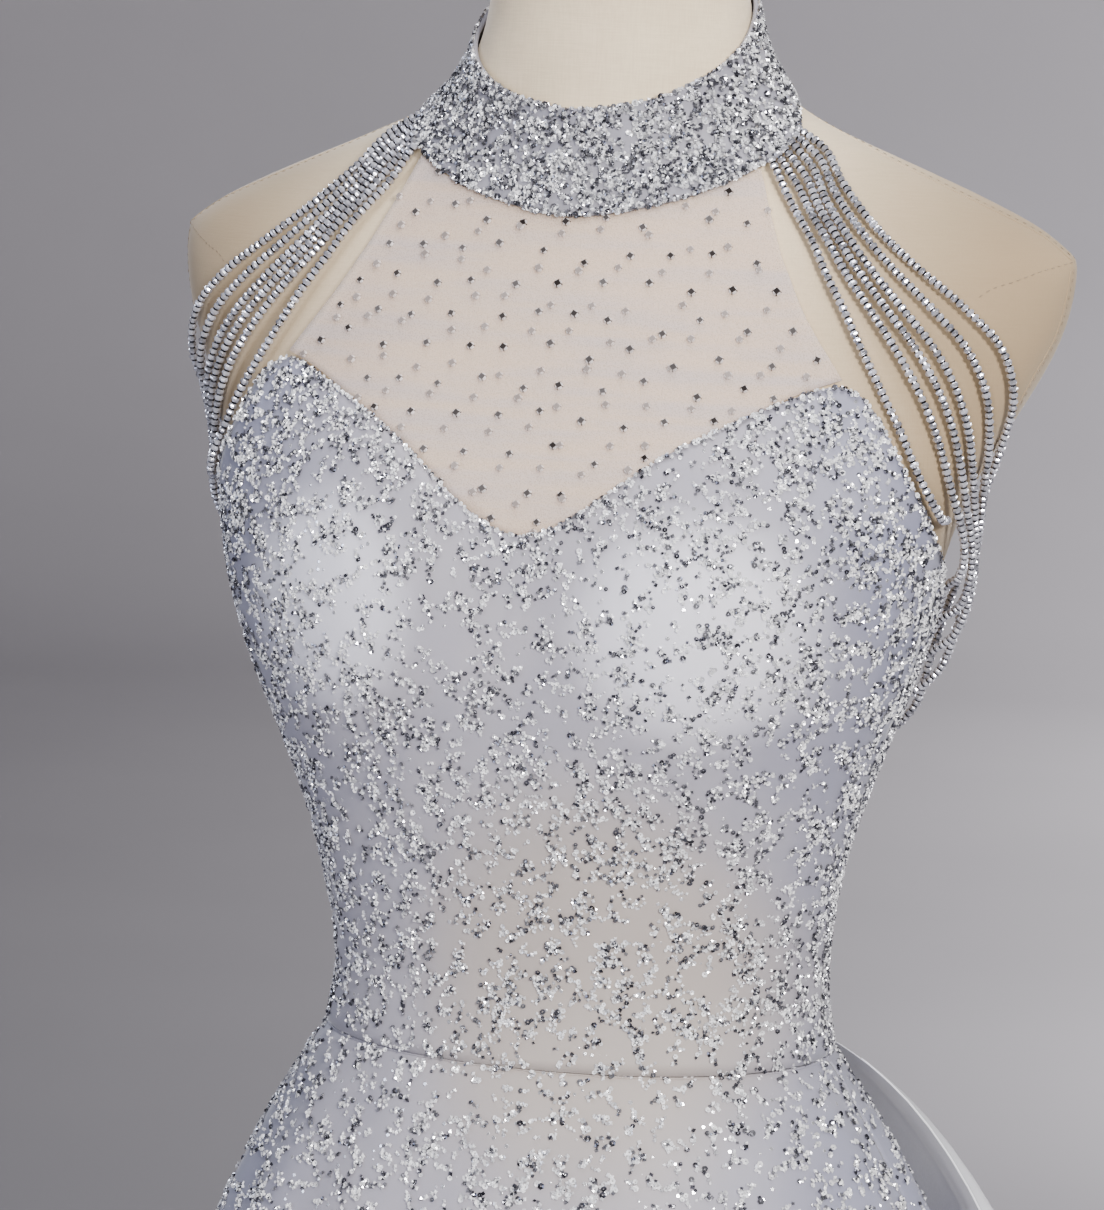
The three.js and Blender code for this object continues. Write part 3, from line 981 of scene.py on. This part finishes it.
@dataclass
class PhotoCamera:
    """The camera at the picture's viewing angle."""

    azimuth: float = 18.0
    elevation: float = 6.5
    distance: float = 2.0
    lens: float = 132.1
    roll: float = 2.0
    height: float = 1.217
    aside: float = -0.019

    def build(self) -> None:
        """Makes the camera the scene's own."""
        turn = math.radians(self.azimuth)
        rise = math.radians(self.elevation)
        back = Vector((math.sin(turn) * math.cos(rise), -math.cos(turn) * math.cos(rise), math.sin(rise)))
        right = Vector((math.cos(turn), math.sin(turn), 0))
        up = back.cross(right)
        roll = math.radians(self.roll)
        rolled_right = right * math.cos(roll) + up * math.sin(roll)
        rolled_up = up * math.cos(roll) - right * math.sin(roll)
        data = bpy.data.cameras.new("photo_camera")
        data.lens = self.lens
        data.sensor_width = 36.0
        data.sensor_fit = "AUTO"
        camera = bpy.data.objects.new("photo_camera", data)
        aim = Vector((0, 0, self.height)) + right * self.aside
        turned = Matrix((rolled_right, rolled_up, back)).transposed().to_4x4()
        camera.matrix_world = Matrix.Translation(aim + back * self.distance) @ turned
        bpy.context.scene.collection.objects.link(camera)
        bpy.context.scene.camera = camera


@dataclass(frozen=True)
class Lamp:
    """One square area light: where it stands, what it points at, its side, power and colour."""

    place: Colour
    aim: Colour
    size: float
    watts: float
    colour: Colour


@dataclass
class Studio:
    """Soft lights, a dim surround and a pale floor that curves up far away."""

    floor_radius: float = 9.0
    bend: float = 4.0
    wall: float = 6.0
    bend_steps: int = 12
    floor_steps: int = 72
    surround: Colour = (0.50, 0.51, 0.55)
    strength: float = 0.2
    look: str = "AgX - Medium High Contrast"
    finish: StudioFloor = field(default_factory=StudioFloor)
    lamps: dict[str, Lamp] = field(default_factory=lambda: {
        "key": Lamp((1.9, -2.3, 2.3), (0, 0, 1.2), 0.7, 92, (1.0, 0.98, 0.95)),
        "fill": Lamp((-2.6, -1.7, 1.7), (0, 0, 1.1), 1.6, 24, (0.74, 0.81, 1.0)),
        "front": Lamp((0.5, -3.2, 1.5), (0, 0, 1.15), 0.6, 36, (1.0, 0.98, 0.96)),
        "top": Lamp((0.2, -0.3, 3.4), (0, 0, 1.2), 1.0, 26, (0.96, 0.97, 1.0)),
        "rim_right": Lamp((2.2, 1.8, 1.9), (0, 0, 1.1), 0.8, 22, (1.0, 1.0, 1.0)),
        "rim_left": Lamp((-1.9, 2.0, 1.8), (0, 0, 1.1), 0.8, 16, (0.82, 0.87, 1.0)),
        "floor_wash": Lamp((1.2, 4.6, 1.0), (-0.4, 5.4, 0.0), 0.9, 90, (1.0, 0.97, 0.97)),
        "wall_wash": Lamp((2.2, 7.8, 1.2), (-0.4, 9.4, 0.1), 1.2, 420, (1.0, 0.97, 0.97)),
    })

    @staticmethod
    def _light(name: str, lamp: Lamp) -> None:
        """One square area light."""
        data = bpy.data.lights.new(name, "AREA")
        data.size = lamp.size
        data.energy = lamp.watts
        data.color = lamp.colour
        light = bpy.data.objects.new(name, data)
        light.location = lamp.place
        light.rotation_mode = "QUATERNION"
        light.rotation_quaternion = (Vector(lamp.aim) - Vector(lamp.place)).to_track_quat("-Z", "Y")
        bpy.context.scene.collection.objects.link(light)

    def _floor(self) -> None:
        """The floor, turned from a profile."""
        profile = [(0, 0), (self.floor_radius, 0)]
        for i in range(1, self.bend_steps + 1):
            angle = math.radians(90 * i / self.bend_steps)
            profile.append((self.floor_radius + self.bend * math.sin(angle),
                            self.bend * (1 - math.cos(angle))))
        profile.append((self.floor_radius + self.bend, self.wall))
        mesh = mesh_from(turned_shape(profile, self.floor_steps, MM))
        mesh.polygons.foreach_set("use_smooth", [True] * len(mesh.polygons))
        mesh.materials.append(self.finish.material("studio_paper"))
        floor = bpy.data.objects.new("studio_floor", mesh)
        bpy.context.scene.collection.objects.link(floor)

    def build(self) -> None:
        """Adds the floor, the surround and the lights."""
        self._floor()
        bpy.context.scene.view_settings.look = self.look
        world = bpy.data.worlds.new("surround")
        world.use_nodes = True
        shade = world.node_tree.nodes["Background"]
        shade.inputs["Color"].default_value = (*self.surround, 1)
        shade.inputs["Strength"].default_value = self.strength
        bpy.context.scene.world = world
        for name, lamp in self.lamps.items():
            self._light(name, lamp)


@dataclass(frozen=True)
class StrandEnds:
    """One bead strand: where it leaves the collar, where it meets the back, and its shares of the spread."""

    start: Colour
    end: Colour
    share: float
    low: float


@dataclass
class BeadStrands:
    """Six strands of round cut beads at each shoulder, from the collar to the back of the bodice."""

    diameter: float = 4.2 * MM
    pitch: float = 3.05 * MM
    fan_rows: int = 5
    facets: int = 8
    into_collar: int = 2
    bead_profile: tuple[tuple[float, float], ...] = (
        (0, -0.98), (0.58, -0.86), (0.92, -0.42), (1.0, 0.0), (0.92, 0.42), (0.58, 0.86), (0, 0.98))
    # thread and bare size the dark rings between the beads, painted shade in the gaps.
    thread: float = 0.33
    bare: float = 0.24
    ends: tuple[StrandEnds, ...] = (
        StrandEnds((84.8, -30.5, 1416.5), (168.2, -33, 1269.2), 0, 0),
        StrandEnds((86.9, -26.1, 1419.2), (157, 4.2, 1223), 0.24, 0.3),
        StrandEnds((89, -21.8, 1422.1), (145.8, 20.2, 1202.8), 0.385, 0.46),
        StrandEnds((90.9, -17.6, 1425.2), (134.1, 31.8, 1187), 0.52, 0.62),
        StrandEnds((91.9, -13.1, 1428.5), (118.7, 44.3, 1170.9), 0.75, 0.81),
        StrandEnds((92.3, -8.6, 1431.8), (102.2, 55.3, 1156), 1, 1),
    )
    way: tuple[tuple[Colour, Colour, float], ...] = (
        ((70, 97.4, 1405), (84.2, 102, 1425.5), 1.2),
        ((68.9, 106.6, 1394.5), (80.3, 114.2, 1411), 0),
        ((68, 114.9, 1385), (77.6, 133.4, 1393), -0.3),
        ((67.4, 122.6, 1373.7), (77.8, 152, 1378), -1.2),
        ((67.1, 134.4, 1357.2), (79.7, 173.4, 1361), -1.4),
        ((67.2, 142.4, 1344.4), (82.6, 188.5, 1343), 0),
        ((67.8, 149.8, 1331.5), (84.9, 192, 1323), 3.7),
        ((68.4, 156.8, 1319), (88, 184.8, 1300), 8.2),
        ((69.3, 163, 1306.5), (92.5, 174, 1275), 10.4),
        ((70.4, 168.3, 1293), (97.5, 166.5, 1248), 9.8),
        ((71.7, 173, 1281.5), (103, 158, 1223), 10),
        ((73.4, 174.6, 1274.5), (107, 152, 1199), 9),
        ((75, 174.6, 1270.3), (111, 147, 1176), 5),
        ((76.4, 173.6, 1269.6), (114.8, 134, 1161), 1),
    )
    finish: SilverBead = field(default_factory=lambda: SilverBead(
        dark=(0.10, 0.10, 0.11), bright=(0.74, 0.74, 0.81), roughness=0.18, metallic=2.6))

    def _knots(self, i: int, side: int) -> list[Vector]:
        """The points that a strand is laid through.

        Args:
            i: which strand, from the innermost.
            side: 1 for the wearer's left, -1 for the right.

        Returns:
            The points, in metres.
        """
        ends = self.ends[i]
        high = i / (len(self.ends) - 1)
        last = len(self.way) - 1
        points = [Vector(ends.start)]
        for k, (inner, outer, bulge) in enumerate(self.way):
            opened = min(1, (k + 1) / self.fan_rows)
            gathered = max(0, 1 - (last - k) / self.fan_rows)
            spread = high + (ends.share - high) * opened
            spread += (ends.low - spread) * gathered
            turn, reach, z = (a + (b - a) * spread for a, b in zip(inner, outer))
            reach += 4 * bulge * spread * (1 - spread)
            angle = math.radians(turn)
            points.append(Vector((reach * math.sin(angle), -reach * math.cos(angle), z)))
        points.append(Vector(ends.end))
        return [Vector((side * p.x, p.y, p.z)) * MM for p in points]

    def route(self, i: int, side: int, pieces: int = 24) -> np.ndarray:
        """The strand's smooth line, a centripetal curve through its knots.

        Args:
            i: which strand.
            side: 1 or -1.
            pieces: steps between two knots.

        Returns:
            Points along the line.
        """
        knots = self._knots(i, side)
        first = knots[0] * 2 - knots[1]
        last = knots[-1] * 2 - knots[-2]
        knots = [first, *knots, last]
        line = []
        for a, b, c, d in zip(knots, knots[1:], knots[2:], knots[3:]):
            before, here, after = (math.sqrt((q - p).length) for p, q in ((a, b), (b, c), (c, d)))
            leave = ((b - a) / before - (c - a) / (before + here) + (c - b) / here) * here
            meet = ((c - b) / here - (d - b) / (here + after) + (d - c) / after) * here
            for step in range(pieces):
                t = step / pieces
                line.append(b * (2 * t**3 - 3 * t**2 + 1) + leave * (t**3 - 2 * t**2 + t)
                            + c * (3 * t**2 - 2 * t**3) + meet * (t**3 - t**2))
        line.append(knots[-2])
        return np.array([p[:] for p in line])

    def _bead(self) -> bmesh.types.BMesh:
        """One round cut bead, threaded along its third axis."""
        profile = [(self.diameter / 2 * r, self.pitch / 2 * z) for r, z in self.bead_profile]
        return turned_shape(profile, self.facets, 0.01 * MM)

    def _gap_shade(self) -> bmesh.types.BMesh:
        """A dark ring between two beads: the thread that shows there, and painted shade in the gap."""
        shape = bmesh.new()
        radius = self.diameter * self.thread
        bmesh.ops.create_cone(shape, cap_ends=False, segments=8, radius1=radius, radius2=radius,
                              depth=self.pitch * self.bare)
        return shape

    def _strand(self, i: int, side: int, name: str, material: bpy.types.Material) -> bpy.types.Object:
        """One strand of beads.

        Args:
            i: which strand.
            side: 1 or -1.
            name: the solid's name.
            material: the beads' material.

        Returns:
            The strand.
        """
        line = self.route(i, side)
        steps = np.linalg.norm(np.diff(line, axis=0), axis=1)
        run = np.concatenate([[0], np.cumsum(steps)])
        count = int(run[-1] / self.pitch)
        at = (np.arange(count) + 0.5) * run[-1] / count
        places = np.stack([np.interp(at, run, line[:, k]) for k in range(3)], axis=1)
        ahead = np.stack([np.interp(at + 0.5 * MM, run, line[:, k]) for k in range(3)], axis=1)
        along = ahead - places
        along /= np.linalg.norm(along, axis=1)[:, None]
        back = np.arange(self.into_collar, 0, -1)[:, None] * along[:1] * self.pitch
        places = np.concatenate([places[:1] - back, places])
        along = np.concatenate([np.repeat(along[:1], self.into_collar, axis=0), along])
        count += self.into_collar
        rng = np.random.default_rng(40 + i * 2 + side)
        frames = turned_frames(along, rng.normal(size=along.shape))
        frames = frames * rng.uniform(0.94, 1.05, count)[:, None, None]
        work = Repeats()
        work.add(self._bead(), places, frames, rng.uniform(0.72, 0.86, count))
        between = places[:-1] + along[:-1] * self.pitch / 2
        # Painted shade: dark rings fill the gaps between the beads.
        work.add(self._gap_shade(), between, frames[:-1], np.zeros(count - 1))
        strand = add_piece(f"{name}_beads", work.mesh(), material, smooth=False)
        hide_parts(name)
        path = [tuple(p) for p in places[:self.into_collar]]
        path += [tuple(p) for p in line[::12]] + [tuple(line[-1])]
        return strand

    def build(self) -> None:
        """Adds the strands of both shoulders."""
        material = self.finish.material("strand_beads")
        for side, word in ((1, "left"), (-1, "right")):
            for i in range(len(self.ends)):
                self._strand(i, side, f"strand_{word}_{i + 1}", material)


@dataclass
class Seam:
    """A sewn line on a skin: a low ridge with stitches beside it."""

    skin: Skin
    width: float = 0.7 * MM
    proud: float = 0.6
    stitch: float = 2.4 * MM
    gap: float = 1.5 * MM
    sides: int = 6

    def line(self, points: list[Colour] | list[Vector], step: float) -> tuple[np.ndarray, np.ndarray]:
        """Lays a line through points onto the skin.

        Args:
            points: the points that it passes.
            step: distance between the laid points.

        Returns:
            Even points on the skin and the normals there.
        """
        found = [self.skin.nearest(Vector(p)) for p in evenly_along(points, step)]
        return np.array([p[:] for p, _ in found]), np.array([n[:] for _, n in found])

    def ridge(self, points: list[Colour] | list[Vector], step: float = 2 * MM) -> bmesh.types.BMesh:
        """A thin cord half sunk along a line.

        Args:
            points: the points that it passes.
            step: distance between two rings.

        Returns:
            The ridge.
        """
        places, normals = self.line(points, step)
        ahead = np.gradient(places, axis=0)
        ahead /= np.linalg.norm(ahead, axis=1)[:, None] + 1e-9
        shape = bmesh.new()
        rings = []
        for place, normal, way in zip(places, normals, ahead):
            side = np.cross(way, normal)
            ring = []
            for k in range(self.sides):
                angle = 2 * math.pi * k / self.sides
                out = side * math.cos(angle) + normal * math.sin(angle) * self.proud
                ring.append(shape.verts.new(place + out * self.width / 2))
            rings.append([shape.edges.new(pair) for pair in zip(ring, ring[1:] + ring[:1])])
        for first, second in zip(rings, rings[1:]):
            bmesh.ops.bridge_loops(shape, edges=first + second)
        for ring in (rings[0], rings[-1]):
            bmesh.ops.edgeloop_fill(shape, edges=ring)
        bmesh.ops.recalc_face_normals(shape, faces=shape.faces)
        return shape

    def stitches(self, points: list[Colour] | list[Vector], work: Repeats, aside: float = 0.0) -> None:
        """Sews a running stitch along a line.

        Args:
            points: the points that it passes.
            work: the copies that the stitches are added to.
            aside: distance of the stitches from the line.
        """
        places, normals = self.line(points, self.stitch + self.gap)
        ahead = np.gradient(places, axis=0)
        frames = turned_frames(normals, ahead)
        places = places + frames[:, :, 1] * aside + normals * 0.1 * MM
        shape = bead_shape(0.5, 1.0)
        bmesh.ops.scale(shape, vec=(self.stitch, 0.5 * MM, 0.45 * MM), verts=shape.verts)
        work.add(shape, places, frames, np.full(len(places), 0.6))


@dataclass
class DressForm:
    """The linen-covered torso on its pole and round foot."""

    pole: float = 14 * MM
    pole_top: float = 0.8195
    linen: Linen = field(default_factory=Linen)
    metal: StandMetal = field(default_factory=StandMetal)
    bright: StandMetal = field(default_factory=lambda: StandMetal(
        colour=(0.55, 0.55, 0.56), rubbed=(0.42, 0.42, 0.43), metallic=1.0))
    wood: TurnedWood = field(default_factory=TurnedWood)
    thread: Thread = field(default_factory=lambda: Thread(colour=(0.42, 0.35, 0.27), dark=(0.28, 0.22, 0.16)))
    seam_width: float = 0.9 * MM
    stitches_aside: float = 2.2 * MM
    cap_back: float = 0.5 * MM
    edge: float = 0.6 * MM
    cap_profile: tuple[tuple[float, float], ...] = (
        (0, 1.5503), (0.050, 1.5503), (0.0535, 1.552), (0.054, 1.556), (0.0525, 1.559), (0.049, 1.5605),
        (0.044, 1.561), (0.041, 1.5622), (0.03, 1.5635), (0, 1.5643))
    foot_profile: tuple[tuple[float, float], ...] = (
        (0, 0), (0.168, 0), (0.17, 0.002), (0.17, 0.0065), (0.1665, 0.0105), (0.155, 0.0135), (0.12, 0.018),
        (0.085, 0.0218), (0.05, 0.0243), (0.03, 0.0258), (0.0258, 0.0272), (0.0244, 0.030), (0.0238, 0.033),
        (0.0225, 0.034), (0, 0.034))
    seam_lines: dict[str, list[Colour]] = field(default_factory=lambda: {
        "shoulder": [(0.075, 0.02, 1.452), (0.096, 0.017, 1.436), (0.128, 0.013, 1.421),
                     (0.166, 0.013, 1.405), (0.196, 0.015, 1.391), (0.209, 0.014, 1.382)],
        "dart": [(0.209, 0.018, 1.381), (0.203, 0.005, 1.379), (0.196, -0.003, 1.376),
                 (0.188, -0.011, 1.372), (0.180, -0.018, 1.369), (0.174, -0.024, 1.364)],
        "plate": [(0.208, 0.013, 1.377), (0.208, 0.011, 1.367), (0.204, 0.008, 1.347),
                  (0.197, 0.001, 1.331), (0.189, -0.002, 1.315), (0.175, -0.004, 1.28)],
        "back": [(0.085, 0.11, 1.415), (0.09, 0.12, 1.33), (0.085, 0.12, 1.24), (0.07, 0.10, 1.12),
                 (0.06, 0.09, 1.03)],
    })

    def _torso(self) -> Skin:
        """Adds the torso and returns its linen skin."""
        skin = Skin("form_torso", sharp=80.0, crease=38.0)
        shape = bmesh.new()
        shape.from_mesh(skin.mesh)
        rims = [edge for edge in shape.edges if edge.is_boundary]
        bmesh.ops.edgeloop_fill(shape, edges=rims)
        bmesh.ops.recalc_face_normals(shape, faces=shape.faces)
        torso = add_piece("torso_linen", mesh_from(shape), self.linen.material("linen"))
        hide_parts("form_torso")
        return skin

    def _seams(self, skin: Skin) -> None:
        """Seams of the linen: shoulder ridges, arm plates, the side back and the centre back."""
        seam = Seam(skin, width=self.seam_width)
        material = self.linen.material("linen_seam")
        stitches = Repeats()
        for name, points in self.seam_lines.items():
            for side, word in ((1, "left"), (-1, "right")):
                line = [(side * x, y, z) for x, y, z in points]
                if name != "dart":
                    add_piece(f"linen_{name}_{word}", mesh_from(seam.ridge(line)), material)
                seam.stitches(line, stitches, aside=0.0 if name == "dart" else self.stitches_aside)
        add_piece("linen_stitches", stitches.mesh(), self.thread.material("linen_thread"))

    def _stand(self) -> None:
        """Neck cap, pole and foot."""
        weld = 0.01 * MM
        cap = turned_shape(self.cap_profile, 64, weld)
        bmesh.ops.translate(cap, vec=(0, self.cap_back, 0), verts=cap.verts)
        pole_profile = [(0, 0.0343), (self.pole, 0.0343), (self.pole, 0.30), (self.pole, 0.60),
                        (self.pole, self.pole_top), (0, self.pole_top)]
        rows = (("cap_turned", cap, self.wood.material("stained_wood"), Slot.CAP, "neck_cap"),
                ("pole_tube", turned_shape(pole_profile, 40, weld), self.bright.material("bright_steel"),
                 Slot.METAL, "stand_pole"),
                ("foot_plate", turned_shape(self.foot_profile, 96, weld), self.metal.material("grey_enamel"),
                 Slot.METAL, "stand_base"))
        for name, shape, material, slot, solid in rows:
            piece = add_piece(name, mesh_from(shape), material)
            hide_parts(solid)
            rounded = piece.modifiers.new("edge", "BEVEL")
            rounded.width = self.edge
            rounded.segments = 2
            rounded.limit_method = "ANGLE"

    def build(self) -> None:
        """Adds the form and its stand."""
        self._seams(self._torso())
        self._stand()


@dataclass
class Collar:
    """The densely beaded stand collar."""

    thick: float = 2 * MM
    clusters: float = 9.5
    # The collar's cloth has no cup highlight; its lilac is painted shade towards the sides, with mottle.
    cloth: BeadedCloth = field(default_factory=lambda: BeadedCloth(
        silver=(0.34, 0.33, 0.37), cup_highlight=(0.34, 0.33, 0.37), lilac_mottle_and_shade=(0.24, 0.25, 0.34)))

    def build(self, beads: bpy.types.Material) -> None:
        """Adds the collar and its beads.

        Args:
            beads: the beads' material.
        """
        skin = Skin("collar")
        material = self.cloth.material("collar_cloth")
        cloth = skin.piece("collar_cloth", material, Slot.BEADED, self.thick, "collar")
        # dark: the share of beads painted as shade between beads.
        work = BeadWork(seed=3, bead=1.1 * MM, sequin=1.4 * MM, dark=0.45, light=(0.45, 0.95))
        mesh = work.mesh(skin, lambda p: np.full(len(p), self.clusters), 0.3, skin.rim(0, 2))
        sewn = add_piece("collar_beads", mesh, beads, smooth=False)


@dataclass(frozen=True)
class Cut:
    """A panel as it is cut flat: the box round it, and the mean width and length that give its area."""

    width: float
    length: float
    mean_width: float
    mean_length: float

    @property
    def flat(self) -> tuple[float, float]:
        """Width and length of the box round the cut."""
        return self.width, self.length

    @property
    def area(self) -> float:
        """Area of the cut."""
        return self.mean_width * self.mean_length


@dataclass
class Yoke:
    """Skin-toned net with scattered stones."""

    thick: float = 1.2 * MM
    across: float = 19 * MM
    down: float = 14.2 * MM
    stone: float = 2.05 * MM
    rows: int = 14
    beside: int = 7
    lowest: float = 1.25
    ahead: float = -0.4
    scatter: float = 1.9 * MM
    second_layer: float = 7.3 * MM
    hollow: float = 8 * MM
    cut: Cut = Cut(0.27, 0.17, 0.22, 0.12)
    net: Net = field(default_factory=Net)
    dark: SilverBead = field(default_factory=lambda: SilverBead(
        dark=(0.04, 0.032, 0.03), bright=(0.8, 0.76, 0.76), roughness=0.18, metallic=0.3))
    pale: SilverBead = field(default_factory=lambda: SilverBead(
        dark=(0.36, 0.31, 0.29), bright=(0.74, 0.68, 0.66), roughness=0.2, metallic=0.2))

    def _stones(self, skin: Skin, offset: float, seed: int) -> bpy.types.Mesh:
        """One layer of stones in staggered rows, each a dark tier over a bright tier: painted reflection,
        dark on the facets and bright at the corners.

        Args:
            skin: the net.
            offset: how far the rows are shifted.
            seed: the seed of chance.

        Returns:
            The joined stones.
        """
        rng = np.random.default_rng(seed)
        places, normals = [], []
        for row in range(self.rows):
            z = self.lowest + offset + row * self.down
            for k in range(-self.beside, self.beside + 1):
                x = (k + (row % 2) * 0.5) * self.across + offset
                jitter = rng.normal(0, self.scatter, 2)
                target = Vector((x + jitter[0], self.ahead, z + jitter[1]))
                found, normal, _, _ = skin.tree.ray_cast(target, Vector((0, 1, 0)))
                if found is not None and normal.y < -0.2:
                    places.append(found[:])
                    normals.append(normal[:])
        places, normals = np.array(places), np.array(normals)
        frames = turned_frames(normals, np.array([1.0, 0, 0]) + rng.normal(0, 0.2, normals.shape))
        frames = frames * rng.uniform(0.9, 1.1, len(places))[:, None, None]
        work = Repeats()
        size = self.stone
        count = len(places)
        # Painted reflection: the bright eight-sided tier shows as highlights at the corners of the dark
        # four-sided tier.
        work.add(cut_stone(8, size * 0.9, 0.8, size * 0.5), places, frames, rng.uniform(0.75, 1, count))
        work.add(cut_stone(4, size, 0.72, size * 0.62), places, frames, rng.uniform(0, 0.2, count))
        return work.mesh()

    def build(self) -> None:
        """Adds the net and both layers of stones."""
        skin = Skin("yoke")
        skin.draw_in(self.hollow)
        net = skin.piece("yoke_net", self.net.material("net"), Slot.NET, self.thick, "yoke")
        dark = add_piece("yoke_stones", self._stones(skin, 0.0, 5), self.dark.material("dark_stone"),
                         smooth=False)
        clear = self._stones(skin, self.second_layer, 6)
        pale = add_piece("yoke_clear_stones", clear, self.pale.material("clear_stone"),
                         smooth=False)


@dataclass
class Bodice:
    """The sweetheart bodice, its two backs and their beads."""

    thick: float = 2 * MM
    clusters: float = 3.0
    front_cut: Cut = Cut(0.46, 0.32, 0.38, 0.266)
    back_cut: Cut = Cut(0.20, 0.24, 0.165, 0.135)
    cloth: BeadedCloth = field(default_factory=BeadedCloth)
    cups: tuple[tuple[float, float], ...] = ((0.078, 1.222), (-0.088, 1.224))
    cup_reach: tuple[float, float] = (0.04, 0.036)
    top_line: tuple[tuple[float, ...], ...] = (
        (0, 0.03, 0.07, 0.10, 0.16), (1.254, 1.285, 1.315, 1.325, 1.25))
    back_share: float = 1.1
    edge_from: float = 1.03

    def _back_density(self, p: np.ndarray) -> np.ndarray:
        """Clusters for each square centimetre, even on the backs."""
        return np.full(len(p), self.clusters * self.back_share)

    def _front_density(self, p: np.ndarray) -> np.ndarray:
        """Clusters for each square centimetre: close along the top and the sides, open on the cups."""
        open_cup = np.zeros(len(p))
        wide, tall = self.cup_reach
        for x, z in self.cups:
            open_cup += np.exp(-(((p[:, 0] - x) / wide) ** 2) - ((p[:, 2] - z) / tall) ** 2)
        top = np.interp(np.abs(p[:, 0]), *self.top_line)
        edge = np.exp(-(((top - p[:, 2]) / 0.022) ** 2))
        side = np.clip((np.abs(p[:, 0]) - 0.07) / 0.08, 0, 1)
        return self.clusters * (1 + 0.6 * edge + 0.45 * side - 0.1 * np.clip(open_cup, 0, 1))

    def build(self, beads: bpy.types.Material) -> None:
        """Adds the three bodice pieces and their beads.

        Args:
            beads: the beads' material.
        """
        material = self.cloth.material("bodice_cloth")
        plans = (("bodice_front", self.front_cut, 11, self._front_density),
                 ("bodice_back_left", self.back_cut, 12, self._back_density),
                 ("bodice_back_right", self.back_cut, 13, self._back_density))
        for node, cut, seed, density in plans:
            skin = Skin(node)
            cloth = skin.piece(f"{node}_cloth", material, Slot.BEADED, self.thick, node)
            # dark: the share of beads painted as shade between beads.
            work = BeadWork(seed=seed, bead=MM, sequin=1.16 * MM, dark=0.34)
            mesh = work.mesh(skin, density, edge=skin.rim(self.edge_from, 2))
            sewn = add_piece(f"{node}_beads", mesh, beads, smooth=False)


@dataclass
class Skirt:
    """The beaded skirt: one front and two backs, with beads close above and sparse below."""

    thick: float = 2 * MM
    clusters: float = 2.8
    sparse: float = 0.35
    fade: tuple[float, float] = (0.80, 0.90)
    waist: float = 1.022
    welt: float = 3.4 * MM
    front_cut: Cut = Cut(1.22, 1.05, 0.796, 1.046)
    back_cut: Cut = Cut(0.67, 1.05, 0.434, 1.046)
    back_share: float = 0.58
    cloth: BeadedCloth = field(default_factory=BeadedCloth)
    thread: Thread = field(default_factory=Thread)

    def _density(self, share: float) -> Density:
        """Clusters for each square centimetre, fading below the hips.

        Args:
            share: how close they are against the front's.

        Returns:
            The density by place.
        """
        def by_place(p: np.ndarray) -> np.ndarray:
            """Density at points."""
            high = np.clip((p[:, 2] - self.fade[0]) / (self.fade[1] - self.fade[0]), 0, 1)
            return share * (self.sparse + (self.clusters - self.sparse) * high)
        return by_place

    def build(self, beads: bpy.types.Material) -> None:
        """Adds the three panels and their beads.

        Args:
            beads: the beads' material.
        """
        material = self.cloth.material("skirt_cloth")
        stitches = Repeats()
        plans = (("skirt_front", self.front_cut, 21, 1.0),
                 ("skirt_back_left", self.back_cut, 22, self.back_share),
                 ("skirt_back_right", self.back_cut, 23, self.back_share))
        for node, cut, seed, share in plans:
            skin = Skin(node)
            cloth = skin.piece(f"{node}_cloth", material, Slot.BEADED, self.thick, node)
            waist = skin.rim(self.waist - 2.5 * MM, 2)
            seam = Seam(skin, width=self.welt, proud=0.3)
            add_piece(f"{node}_waist_welt", mesh_from(seam.ridge(waist)), material)
            seam.stitches(waist, stitches, aside=self.welt)
            # dark: the share of beads painted as shade between beads.
            work = BeadWork(seed=seed, bead=1.1 * MM, sequin=1.3 * MM, longest=6, dark=0.24)
            mesh = work.mesh(skin, self._density(share))
            sewn = add_piece(f"{node}_beads", mesh, beads, smooth=False)
        add_piece("waist_stitches", stitches.mesh(), self.thread.material("waist_thread"))


@dataclass
class Overskirt:
    """Sheer organza hung from the waist seam round the back."""

    thick: float = 0.5 * MM
    hem: float = 1.6 * MM
    top: float = 1.016
    cloth: Organza = field(default_factory=Organza)
    rolled: Organza = field(default_factory=lambda: Organza(cover=0.9))
    fold: float = 6 * MM
    folds: int = 34
    cut: Cut = Cut(1.11, 1.08, 0.72, 1.072)

    def _folds(self, p: np.ndarray) -> np.ndarray:
        """Soft upright folds that deepen below the waist."""
        turn = np.arctan2(p[:, 0], p[:, 1])
        depth = self.fold * np.clip((self.top - p[:, 2]) / 0.16, 0, 1)
        return depth * (np.sin(turn * self.folds + p[:, 2] * 3) + 0.4 * np.sin(turn * self.folds * 0.43 + 1))

    def build(self) -> None:
        """Adds the organza."""
        skin = Skin("overskirt")
        skin.raise_by(self._folds)
        material = self.cloth.material("organza")
        cloth = skin.piece("overskirt_organza", material, Slot.ORGANZA, self.thick, "overskirt")
        hem = Seam(skin, width=self.hem).ridge(skin.rim(0, self.top), step=5 * MM)
        rolled = add_piece("overskirt_hem", mesh_from(hem), self.rolled.material("organza_hem"))


def main() -> None:
    """Builds the picture, piece by piece."""
    logging.basicConfig(level=logging.INFO, format="%(message)s")
    PhotoCamera().build()
    BeadStrands().build()
    Studio().build()
    DressForm().build()
    beads = SilverBead().material("silver_beads")
    Collar().build(beads)
    Yoke().build()
    Bodice().build(beads)
    Skirt().build(beads)
    Overskirt().build()


if __name__ == "__main__":
    main()
